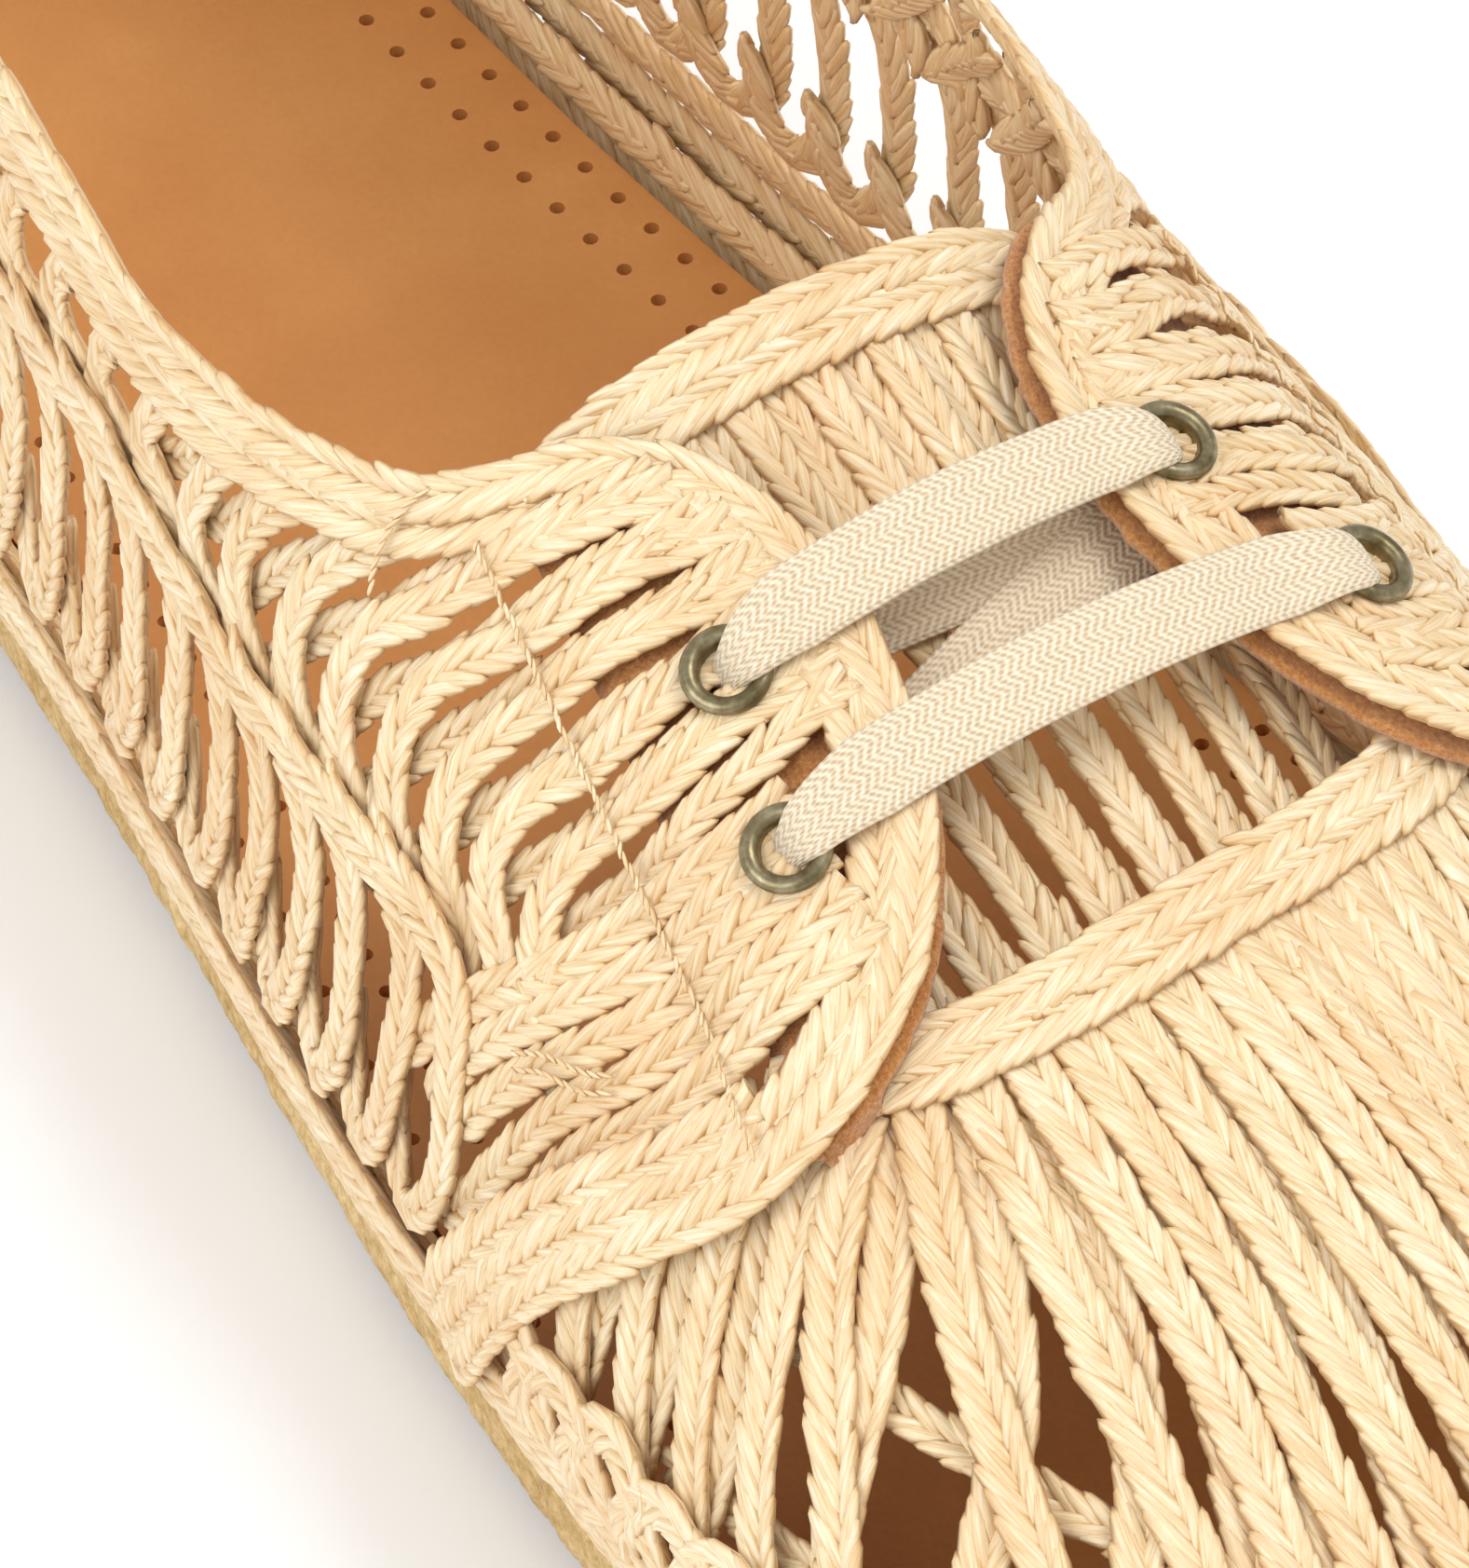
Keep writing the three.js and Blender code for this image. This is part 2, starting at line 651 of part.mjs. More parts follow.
// Tongue: a wall under the lacing, wider at its top edge than at its root under the vamp.
const TONGUE = [
  { along: 0.52, inner: -0.235, outer: 0.3 },
  { along: 0.6, inner: -0.21, outer: 0.3 },
  { along: 0.68, inner: -0.2, outer: 0.27 },
  { along: 0.745, inner: -0.17, outer: 0.24 },
];
const TONGUE_SLITS = [
  { along: 0.676, across: -0.1, turn: -52 },
  { along: 0.682, across: -0.03, turn: -22 },
  { along: 0.683, across: 0.045, turn: 2 },
  { along: 0.682, across: 0.12, turn: 24 },
  { along: 0.672, across: 0.185, turn: 48 },
  { along: 0.645, across: -0.075, turn: -34 },
  { along: 0.648, across: 0.01, turn: -8 },
  { along: 0.647, across: 0.095, turn: 18 },
];
const TONGUE_COLUMNS = 8;

function tongueSolid() {
  const start = follow(TONGUE, 'along', 'inner');
  const stop = follow(TONGUE, 'along', 'outer');
  const first = TONGUE[0].along;
  const last = TONGUE[TONGUE.length - 1].along;
  const rows = [];
  const edge = 4.5 / ((last - first) * LENGTH);
  for (const t of [0, edge, edge * 1.25, 0.35, 0.55, 0.8, 1]) {
    const along = lerp(first, last, t);
    const x = along * LENGTH;
    const line = [];
    for (let i = 0; i <= TONGUE_COLUMNS; i += 1) {
      const y = lerp(start(along), stop(along), i / TONGUE_COLUMNS) * BALL_WIDTH;
      const out = skinNormal(x, y);
      const band = t <= edge ? 0.5 : 0;
      const rib = t > edge && t < 0.8 && i % 2 ? -0.35 : 0;
      const base = [x, y, skinHeight(x, y)];
      line.push({
        top: add(base, out, band + rib - TONGUE_DROP),
        foot: add(base, out, -TONGUE_DROP - TONGUE_THICK),
      });
    }
    rows.push(line);
  }
  const outer = rows.map((line) => line.map((spot) => spot.top));
  const inner = rows.map((line) => line.map((spot) => spot.foot));
  const slits = TONGUE_SLITS.map((slit) => {
    const x = slit.along * LENGTH;
    const y = slit.across * BALL_WIDTH;
    const points = [];
    const turn = rad(slit.turn);
    const base = skinHeight(x, y) - TONGUE_DROP;
    for (const [a, b] of [[3.6, 0], [0.8, 1.1], [-3.6, 0], [0.8, -1.1]]) {
      const px = x + a * Math.cos(turn) - b * Math.sin(turn);
      const py = y + a * Math.sin(turn) + b * Math.cos(turn);
      points.push([px, py, base + 4], [px, py, base - 6]);
    }
    return wasm.Manifold.hull(points);
  });
  return toSolid(plate(outer, inner)).subtract(wasm.Manifold.union(slits));
}

// Lace: a flat tape carried along a line of stations, each with its own width and thickness.
function tape(stations) {
  const rings = stations.map((station, i) => {
    const ahead = stations[Math.min(i + 1, stations.length - 1)].at;
    const behind = stations[Math.max(i - 1, 0)].at;
    const run = unit(sub(ahead, behind));
    const side = station.out ? cross(run, station.out) : [1, 0, 0];
    const flat = unit(add(side, run, -dot(side, run)));
    const up = cross(run, flat);
    const w = station.wide / 2;
    const h = station.thick / 2;
    const shape = [[w, 0], [0.8 * w, h], [-0.8 * w, h], [-w, 0], [-0.8 * w, -h], [0.8 * w, -h]];
    return shape.map(([a, b]) => add(add(station.at, flat, a), up, b));
  });
  const points = rings.flat();
  const sides = 6;
  const faces = [];
  for (let i = 0; i < rings.length - 1; i += 1) {
    for (let k = 0; k < sides; k += 1) {
      const a = i * sides + k;
      const b = i * sides + ((k + 1) % sides);
      faces.push([a, b, b + sides], [a, b + sides, a + sides]);
    }
  }
  for (const end of [0, rings.length - 1]) {
    for (let k = 1; k < sides - 1; k += 1) {
      const fan = [end * sides, end * sides + k, end * sides + k + 1];
      faces.push(end ? fan : [fan[0], fan[2], fan[1]]);
    }
  }
  return toSolid(finish(points, faces));
}

const LACE_IN_BORE = { wide: 2.6, thick: 1.9 };
const LACE_OVER = 3.6;
const LACE_UNDER = 3.05;
const LACE_UNDER_THICK = 0.9;

// Top of the facing tabs over a place in plan, and the skin's own height between them.
function tabTop(x, y) {
  const tab = TABS[y < bias(x) ? 0 : 1];
  const along = (x / LENGTH - tab.back) / (tab.front - tab.back);
  const spot = tabSpot(tab, along, 1);
  const reach = (spot.seam - Math.abs(y)) / (tab.reach * BALL_WIDTH);
  const over = Math.abs(y) > spot.seam - spot.wide - 1 ? tabRise(along, reach) : 0;
  return skinHeight(x, y) + over / skinNormal(x, y)[2];
}

// A bar over the lacing from one seat to the other, with both ends down through the bores.
function laceBar(from, to, arch) {
  const stations = [];
  const stem = (seat, height, share) => ({
    at: add(seat.top, seat.out, height),
    wide: lerp(LACE_IN_BORE.wide, LACE_WIDTH, share),
    thick: lerp(LACE_IN_BORE.thick, LACE_THICK, share),
  });
  const bend = (here, there, height) => {
    const across = unit(sub(there.top, here.top));
    return add(add(here.top, here.out, height), across, 0.7);
  };
  stations.push(stem(from, -from.rise - LACE_UNDER, 0));
  stations.push(stem(from, 1.4, 0));
  stations.push({ ...stem(from, 3.0, 0.1), at: bend(from, to, 3.0) });
  const a = add(from.top, from.out, LACE_OVER);
  const b = add(to.top, to.out, LACE_OVER);
  const steps = 8;
  for (let i = 0; i <= steps; i += 1) {
    const t = lerp(0.11, 0.89, i / steps);
    const at = add(a, sub(b, a), t);
    const near = Math.min(Math.hypot(...sub(at, a)), Math.hypot(...sub(at, b)));
    const over = lerp(3.8, 2.3, smooth(4, 8, near));
    at[2] = Math.max(at[2] + arch * Math.sin(Math.PI * t), tabTop(at[0], at[1]) + over);
    const share = smooth(0, 0.2, t) * smooth(0, 0.2, 1 - t);
    stations.push({
      at,
      wide: lerp(3.2, LACE_WIDTH, share),
      thick: lerp(1.5, LACE_THICK, share),
    });
  }
  stations.push({ ...stem(to, 3.0, 0.1), at: bend(to, from, 3.0) });
  stations.push(stem(to, 1.4, 0));
  stations.push(stem(to, -to.rise - LACE_UNDER, 0));
  return tape(stations);
}

// A run of lace between the tongue and the tabs, from a bore to a place near another one.
function laceUnder(from, goal) {
  const start = add(from.top, from.out, -from.rise - LACE_UNDER);
  const stations = [];
  const steps = 6;
  for (let i = 0; i <= steps; i += 1) {
    const t = i / steps;
    const x = lerp(start[0], goal.x, t);
    const y = lerp(start[1], goal.y, t);
    const out = skinNormal(x, y);
    stations.push({
      at: add([x, y, skinHeight(x, y)], out, -LACE_UNDER),
      out: goal.y > start[1] ? out : out.map((v) => -v),
      wide: lerp(3.2, LACE_WIDTH * 0.95, smooth(0, 0.2, t)),
      thick: LACE_UNDER_THICK,
    });
  }
  return tape(stations);
}

function laceSolid() {
  const [nearBack, nearFront, farBack, farFront] = seats;
  const runs = [
    laceBar(nearBack, farBack, 1.6),
    laceBar(nearFront, farFront, 2.4),
    laceUnder(nearBack, { x: farBack.top[0] + 2.0, y: farBack.top[1] }),
    laceUnder(nearFront, { x: farBack.top[0] + 1.0, y: farBack.top[1] + 0.5 }),
    laceUnder(farFront, { x: farBack.top[0] + 0.5, y: farBack.top[1] + 1.0 }),
  ];
  return wasm.Manifold.union(runs);
}

// Sole and insole: rings inside the widest outline, closed top and bottom.
const SOLE_STEPS = 24;
function slab(rings) {
  const count = 2 * SOLE_STEPS;
  const grid = rings.map((ring) => {
    const line = [];
    for (let i = 0; i < count; i += 1) {
      const turn = i <= SOLE_STEPS ? i / SOLE_STEPS : 2 - i / SOLE_STEPS;
      const x = (LENGTH * (1 - Math.cos(Math.PI * turn))) / 2;
      const open = Math.sqrt(Math.max(0, 1 - rounding(x) ** 2));
      const mid = bias(x);
      const near = mid - open * (mid + lateral(x));
      const far = mid + open * (medial(x) - mid);
      const tip = turn < 1e-9 ? 1 : turn > 1 - 1e-9 ? -1 : 0;
      const slope = outlineNormal(x, i <= SOLE_STEPS ? -1 : 1);
      const edge = [x, i <= SOLE_STEPS ? near : far];
      const inward = tip ? [tip, 0] : slope;
      const place = add(edge, inward, ring.inset);
      line.push([...place, ring.height(edge[0])]);
    }
    return line;
  });
  const points = grid.flat();
  const faces = [];
  for (let r = 0; r < grid.length - 1; r += 1) {
    for (let i = 0; i < count; i += 1) {
      const a = r * count + i;
      const b = r * count + ((i + 1) % count);
      faces.push([a, b, b + count], [a, b + count, a + count]);
    }
  }
  for (const r of [0, grid.length - 1]) {
    const flip = r === 0;
    const cap = (a, b, c) => faces.push(flip ? [a, c, b] : [a, b, c]);
    for (let i = 0; i < SOLE_STEPS; i += 1) {
      const a = r * count + i;
      const b = r * count + i + 1;
      const c = r * count + ((count - i - 1) % count);
      const d = r * count + ((count - i) % count);
      if (i < SOLE_STEPS - 1) cap(a, b, c);
      else cap(a, b, d);
      if (i > 0 && i < SOLE_STEPS - 1) cap(a, c, d);
    }
  }
  return finish(points, faces);
}

function outlineNormal(x, side) {
  const y = (place) => {
    const open = Math.sqrt(Math.max(0, 1 - rounding(place) ** 2));
    const mid = bias(place);
    return side < 0 ? mid - open * (mid + lateral(place)) : mid + open * (medial(place) - mid);
  };
  const step = Math.min(0.2, 0.4 * Math.min(x, LENGTH - x) + 1e-6);
  const along = unit([2 * step, y(x + step) - y(x - step)]);
  return side < 0 ? [-along[1], along[0]] : [along[1], -along[0]];
}

const INSOLE_EASE = 0.9;
const TREAD_INSET = 8.0;
const ROPE_INSET = 5.2;
const ROPE_BULGE = 1.1;
const spring = (x) => feather(x) - SOLE_HEIGHT;
const ropeBase = OUTSOLE_THICK + GAP;
const ropeTop = SOLE_HEIGHT - GAP;

function outsoleMesh() {
  return slab([
    { inset: TREAD_INSET + 0.6, height: (x) => spring(x) },
    { inset: TREAD_INSET, height: (x) => spring(x) + 0.7 },
    { inset: TREAD_INSET - 0.4, height: (x) => spring(x) + OUTSOLE_THICK },
  ]);
}

// Two turns of jute rope show on the side of the midsole.
function midsoleMesh() {
  const ropes = 2;
  const tall = (ropeTop - ropeBase) / ropes;
  const rings = [];
  for (let k = 0; k < ropes; k += 1) {
    for (const [t, bulge] of [[0, 0], [0.3, 0.9], [0.7, 0.9]]) {
      const up = ropeBase + (k + t) * tall;
      const inset = lerp(TREAD_INSET - 0.7, ROPE_INSET, (k + t) / ropes) - bulge * ROPE_BULGE;
      rings.push({ inset, height: (x) => up + spring(x) });
    }
  }
  rings.push({ inset: ROPE_INSET - 0.4, height: (x) => ropeTop + spring(x) });
  return slab(rings);
}

function insoleMesh() {
  const inset = TUCK + WALL + INSOLE_EASE;
  return slab([
    { inset: inset + 0.2, height: (x) => feather(x) },
    { inset: inset - 0.1, height: (x) => feather(x) + INSOLE_THICK * 0.45 },
    { inset: inset - 1.9, height: (x) => feather(x) + INSOLE_THICK },
  ]);
}

const shoe = new THREE.Group();
shoe.name = 'espadrille';

const SURFACES = {
  raffia: { color: 0xe9d3a8, roughness: 0.75 },
  suede: { color: 0xb5742f, roughness: 0.95 },
  leather: { color: 0xbd8145, roughness: 0.55 },
  cotton: { color: 0xe8d5b7, roughness: 0.9 },
  brass: { color: 0x7d7457, roughness: 0.4, metalness: 0.9 },
  jute: { color: 0xc9ab7a, roughness: 0.95 },
  rubber: { color: 0xb89a6c, roughness: 0.85 },
};

// The origin lies on the ground under the middle of the shoe's length.
function place(name, surface, geometry) {
  geometry.translate(-LENGTH / 2, 0, 0);
  const mesh = new THREE.Mesh(geometry, new THREE.MeshStandardMaterial(SURFACES[surface]));
  mesh.name = name;
  shoe.add(mesh);
}

place('outsole', 'rubber', toGeometry(outsoleMesh()));
place('midsole', 'jute', toGeometry(midsoleMesh()));
place('insole', 'leather', toGeometry(insoleMesh()));
place('upper', 'raffia', solidGeometry(upperSolid().subtract(gapCutters()).simplify(0.03)));
place('tongue', 'raffia', solidGeometry(tongueSolid()));
TABS.forEach((tab, index) => {
  const bores = seats.filter((seat, k) => EYELETS[k].tab === index).map(boreCutter);
  const holes = wasm.Manifold.union(bores);
  const facing = tabPlate(tab, { ...TAB_MESH, root: GAP, peek: 0 }, 0, TAB_THICK);
  place(`facing_${tab.name}`, 'raffia', solidGeometry(facing.subtract(holes).add(quarterBand(tab))));
  const backing = tabPlate(tab, { ...BACKING_MESH, root: 2.2, peek: BACKING_PEEK }, TAB_THICK + BACKING_GAP, BACKING_THICK);
  place(`backing_${tab.name}`, 'suede', solidGeometry(backing.subtract(holes)));
});
seats.forEach((seat, k) => {
  place(`eyelet_${EYELETS[k].name}`, 'brass', solidGeometry(eyeletSolid(seat)));
});
place('lace', 'cotton', solidGeometry(laceSolid()));

export default shoe;
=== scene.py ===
"""Raffia lace-up espadrille, right shoe: the finish of every piece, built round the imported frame."""

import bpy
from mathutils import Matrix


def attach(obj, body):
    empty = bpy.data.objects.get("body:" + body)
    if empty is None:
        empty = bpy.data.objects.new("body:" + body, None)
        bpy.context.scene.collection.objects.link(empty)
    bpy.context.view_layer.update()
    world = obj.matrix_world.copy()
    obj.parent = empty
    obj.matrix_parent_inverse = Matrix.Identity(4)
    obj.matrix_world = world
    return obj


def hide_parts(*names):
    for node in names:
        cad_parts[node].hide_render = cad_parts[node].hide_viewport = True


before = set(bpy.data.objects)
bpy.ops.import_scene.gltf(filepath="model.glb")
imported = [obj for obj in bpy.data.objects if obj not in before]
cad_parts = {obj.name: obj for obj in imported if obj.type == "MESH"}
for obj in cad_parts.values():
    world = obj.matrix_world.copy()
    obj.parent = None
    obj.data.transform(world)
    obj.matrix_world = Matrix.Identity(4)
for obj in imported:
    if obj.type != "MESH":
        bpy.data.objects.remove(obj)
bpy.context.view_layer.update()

import logging
import math
from dataclasses import dataclass
from enum import Enum
from typing import Callable, Sequence

import bpy
import numpy as np
from mathutils import Matrix, Vector

log = logging.getLogger("espadrille")

Grid = np.ndarray
MM = 0.001
SEED = 11


def smooth(low: float, high: float, value: Grid) -> Grid:
    """Return a soft step from 0 at low to 1 at high."""
    t = np.clip((np.asarray(value, float) - low) / (high - low), 0.0, 1.0)
    return t * t * (3 - 2 * t)


def unit(vectors: Grid) -> Grid:
    """Return vectors scaled to length one."""
    size = np.linalg.norm(vectors, axis=-1, keepdims=True)
    return vectors / np.maximum(size, 1e-9)


def length_along(line: Grid) -> Grid:
    """Return the lengths walked along a line at its points."""
    return np.r_[0, np.cumsum(np.linalg.norm(np.diff(line, axis=0), axis=1))]


def natural_spline(xs: Sequence[float], ys: Sequence) -> Callable[[Grid], Grid]:
    """Make a natural cubic spline through rows of a table.

    Args:
        xs: rising places of the rows.
        ys: one value, or one row of values, at each place.

    Returns:
        A function from places to values.
    """
    x = np.asarray(xs, float)
    y = np.asarray(ys, float)
    count = len(x)
    span = np.diff(x)
    system = np.eye(count)
    right = np.zeros_like(y)
    for i in range(1, count - 1):
        system[i, i - 1 : i + 2] = span[i - 1], 2 * (span[i - 1] + span[i]), span[i]
        right[i] = 6 * ((y[i + 1] - y[i]) / span[i] - (y[i] - y[i - 1]) / span[i - 1])
    bend = np.linalg.solve(system, right)

    def at(value: Grid) -> Grid:
        """Return the spline's value."""
        v = np.clip(np.asarray(value, float), x[0], x[-1])
        i = np.clip(np.searchsorted(x, v) - 1, 0, count - 2)
        b = (v - x[i]) / span[i]
        square = span[i] ** 2
        if y.ndim == 2:
            b, square = b[..., None], square[..., None]
        a = 1 - b
        curve = (a**3 - a) * bend[i] + (b**3 - b) * bend[i + 1]
        return a * y[i] + b * y[i + 1] + curve * square / 6

    return at


class Side(Enum):
    """Side of the foot, as the sign of Y."""

    LATERAL = -1
    MEDIAL = 1

    @property
    def word(self) -> str:
        """Return the side as the pieces' names carry it."""
        return self.name.lower()


@dataclass(frozen=True)
class Last:
    """The last that the upper is worked on, in millimetres from the back of the heel."""

    length: float = 284.0
    ball: float = 97.0
    instep: float = 63.5
    sole_height: float = 10.0
    toe_spring: float = 4.0
    bulge_height: float = 11.0
    tuck: float = 4.5
    tuck_turn: float = 65.0
    heel_share: float = 0.118
    toe_share: float = 0.29
    heel_pole: float = 0.14
    toe_pole: float = 0.6
    fan_start: float = 0.44

    SECTIONS = (
        # along, lateral, medial, ridge, bias, square, spring
        (0.0, 0.34, 0.34, 1.638, 0.0, 2.9, 0.0),
        (0.2, 0.345, 0.345, 1.56, 0.005, 3.0, 0.0),
        (0.35, 0.376, 0.387, 1.449, 0.02, 2.9, 0.0),
        (0.5, 0.438, 0.459, 1.197, 0.041, 2.5, 0.0),
        (0.65, 0.479, 0.515, 1.0, 0.052, 2.2, 0.0),
        (0.8, 0.485, 0.515, 0.787, 0.052, 2.2, 0.15),
        (0.92, 0.495, 0.526, 0.661, 0.052, 2.2, 0.55),
        (1.0, 0.495, 0.536, 0.614, 0.052, 2.2, 1.0),
    )
    TOP_EDGE = (
        # round, climb
        (0.0, 29), (0.085, 31), (0.17, 34), (0.2, 34.5), (0.22, 41), (0.242, 51), (0.257, 57),
        (0.29, 56), (0.32, 54), (0.348, 49), (0.358, 52), (0.381, 61.4), (0.4235, 71.9),
        (0.4985, 77.9), (0.578, 73.4), (0.6333, 60.4), (0.65, 54), (0.68, 55), (0.72, 57),
        (0.74, 57), (0.752, 55), (0.77, 48), (0.8, 42), (0.83, 36), (0.915, 31), (1.0, 29),
    )

    def __post_init__(self) -> None:
        """Work out the splines, the outline and the table of heights along each section."""
        table = np.array(self.SECTIONS)
        keep = object.__setattr__
        keep(self, "columns", natural_spline(table[:, 0], table[:, 1:]))
        turn = np.linspace(0, np.pi, 1201)
        x = self.length * (1 - np.cos(turn)) / 2
        near = np.stack([x, self.rim(x, -1)], 1)
        far = np.stack([x, self.rim(x, 1)], 1)[::-1]
        outline = np.concatenate([near, far[1:]])
        walked = np.r_[0, np.cumsum(np.hypot(*np.diff(outline, axis=0).T))]
        keep(self, "outline", outline)
        keep(self, "walked", walked)
        keep(self, "girth", float(walked[-1]))
        rounds = np.linspace(0, self.girth, 327)
        climbs = np.linspace(-self.tuck_turn, 88, 154)
        grid = self.point(rounds[:, None] + 0 * climbs, climbs + 0 * rounds[:, None])
        step = np.linalg.norm(np.diff(grid, axis=1), axis=2)
        far_up = np.concatenate([np.zeros((len(rounds), 1)), np.cumsum(step, axis=1)], axis=1)
        heights = np.arange(0, 131.0)
        keep(self, "climb_table", np.array([np.interp(heights, row, climbs) for row in far_up]))
        keep(self, "height_table", far_up)
        keep(self, "climbs", climbs)

    def shares(self, x: Grid) -> tuple[Grid, ...]:
        """Return the section table's columns at places along the last, in millimetres."""
        row = self.columns(np.clip(np.asarray(x, float) / self.length, 0, 1))
        ball = self.ball
        return (
            row[..., 0] * ball,
            row[..., 1] * ball,
            row[..., 2] * self.instep,
            row[..., 3] * ball,
            row[..., 4],
            np.maximum(row[..., 5], 0) * self.toe_spring,
        )

    def rounding(self, x: Grid) -> Grid:
        """Return how far places have gone into the rounded heel or toe, from 0 to 1."""
        heel = self.heel_share * self.length
        toe = self.toe_share * self.length
        x = np.asarray(x, float)
        return np.clip(np.maximum((heel - x) / heel, (x - self.length + toe) / toe), 0, 1)

    def rim(self, x: Grid, side: int) -> Grid:
        """Return the widest outline's Y at places along one side."""
        lateral, medial, _, bias, _, _ = self.shares(x)
        still = np.sqrt(1 - self.rounding(x) ** 2)
        return bias + still * (np.where(side < 0, -lateral, medial) - bias)

    def feather(self, x: Grid) -> Grid:
        """Return the height of the feather edge, where upper and sole meet."""
        return self.sole_height + self.shares(x)[5]

    def height(self, x: Grid, y: Grid) -> Grid:
        """Return the skin's height over places in plan."""
        lateral, medial, ridge, bias, square, _ = self.shares(x)
        reach = np.where(y < bias, bias + lateral, medial - bias)
        out = np.minimum(1, np.hypot((y - bias) / reach, self.rounding(x)))
        wide = self.feather(x) + self.bulge_height
        return wide + (ridge - wide) * np.maximum(0, 1 - out**square) ** (1 / square)

    def upright(self, x: Grid, y: Grid) -> Grid:
        """Return the skin's outward direction over places in plan."""
        step = 0.2
        dx = (self.height(x + step, y) - self.height(x - step, y)) / (2 * step)
        dy = (self.height(x, y + step) - self.height(x, y - step)) / (2 * step)
        return unit(np.stack([-dx, -dy, np.ones_like(dx)], -1))

    def over(self, x: Grid, y: Grid) -> Grid:
        """Return skin points over places in plan."""
        x, y = np.asarray(x, float), np.asarray(y, float)
        return np.stack([x, y, self.height(x, y)], -1)

    def edge(self, round_mm: Grid) -> Grid:
        """Return outline points at lengths walked from the back of the heel."""
        goal = np.mod(round_mm, self.girth)
        x = np.interp(goal, self.walked, self.outline[:, 0])
        return np.stack([x, np.interp(goal, self.walked, self.outline[:, 1])], -1)

    def inward(self, round_mm: Grid) -> Grid:
        """Return directions in plan from the outline into the shoe."""
        along = unit(self.edge(np.asarray(round_mm) + 0.5) - self.edge(np.asarray(round_mm) - 0.5))
        return np.stack([-along[..., 1], along[..., 0]], -1)

    def point(self, round_mm: Grid, climb: Grid) -> Grid:
        """Return skin points at a length round the outline and an angle up the section."""
        round_mm, climb = np.broadcast_arrays(np.asarray(round_mm, float), np.asarray(climb, float))
        edge = self.edge(round_mm)
        x = edge[..., 0]
        fan = self.fan_start * self.length
        share = np.clip((x - fan) / (self.length - fan), 0, 1)
        fanned = fan + (self.toe_pole - self.fan_start) * self.length * (1 - (1 - share) ** 2.2)
        top_x = np.where(x > fan, fanned, np.maximum(self.heel_pole * self.length, x))
        top = np.stack([top_x, self.shares(top_x)[3]], -1)
        square = self.shares(x)[4]
        rise = 1 - np.cos(np.radians(np.clip(climb, 0, 90))) ** (2 / square)
        plan = edge + (top - edge) * rise[..., None]
        turn = np.radians(np.clip(-climb, 0, 90))
        full = math.radians(self.tuck_turn)
        inset = self.tuck * (1 - np.cos(turn)) / (1 - math.cos(full))
        drop = self.bulge_height * np.sin(turn) / math.sin(full)
        wide = self.feather(x) + self.bulge_height
        plan = plan + self.inward(round_mm) * inset[..., None]
        z = np.where(climb > 0, self.height(plan[..., 0], plan[..., 1]), wide - drop)
        return np.concatenate([plan, z[..., None]], -1)

    def out(self, round_mm: Grid, climb: Grid) -> Grid:
        """Return the skin's outward direction at places on it."""
        round_mm, climb = np.asarray(round_mm, float), np.asarray(climb, float)
        along = self.point(round_mm + 0.4, climb) - self.point(round_mm - 0.4, climb)
        up = self.point(round_mm, climb + 0.5) - self.point(round_mm, climb - 0.5)
        return unit(np.cross(along, up))

    def climb_at(self, round_mm: Grid, above: Grid) -> Grid:
        """Return the climb at lengths up the section from the feather edge."""
        column = np.mod(round_mm, self.girth) / self.girth * 326
        row = np.clip(above, 0, 129.9)
        i, j = np.minimum(column.astype(int), 325), row.astype(int)
        a, b = column - i, row - j
        table = self.climb_table
        low = table[i, j] * (1 - b) + table[i, j + 1] * b
        high = table[i + 1, j] * (1 - b) + table[i + 1, j + 1] * b
        return low * (1 - a) + high * a

    def above_at(self, round_mm: float, climb: float) -> float:
        """Return the length up one section from the feather edge to a climb."""
        i = int(round(np.mod(round_mm, self.girth) / self.girth * 326))
        return float(np.interp(climb, self.climbs, self.height_table[i]))

    def top_climb(self, round_mm: Grid) -> Grid:
        """Return the climb of the upper's top edge."""
        table = np.array(self.TOP_EDGE)
        return np.interp(np.mod(round_mm, self.girth) / self.girth, table[:, 0], table[:, 1])

    def top_above(self, round_mm: float) -> float:
        """Return the length up one section from the feather edge to the upper's top edge."""
        return self.above_at(round_mm, float(self.top_climb(round_mm)))

    def turned(self, side: Side, round_mm: Grid) -> Grid:
        """Return lengths round the outline, counted the other way round on the medial side."""
        return round_mm if side is Side.LATERAL else self.girth - round_mm


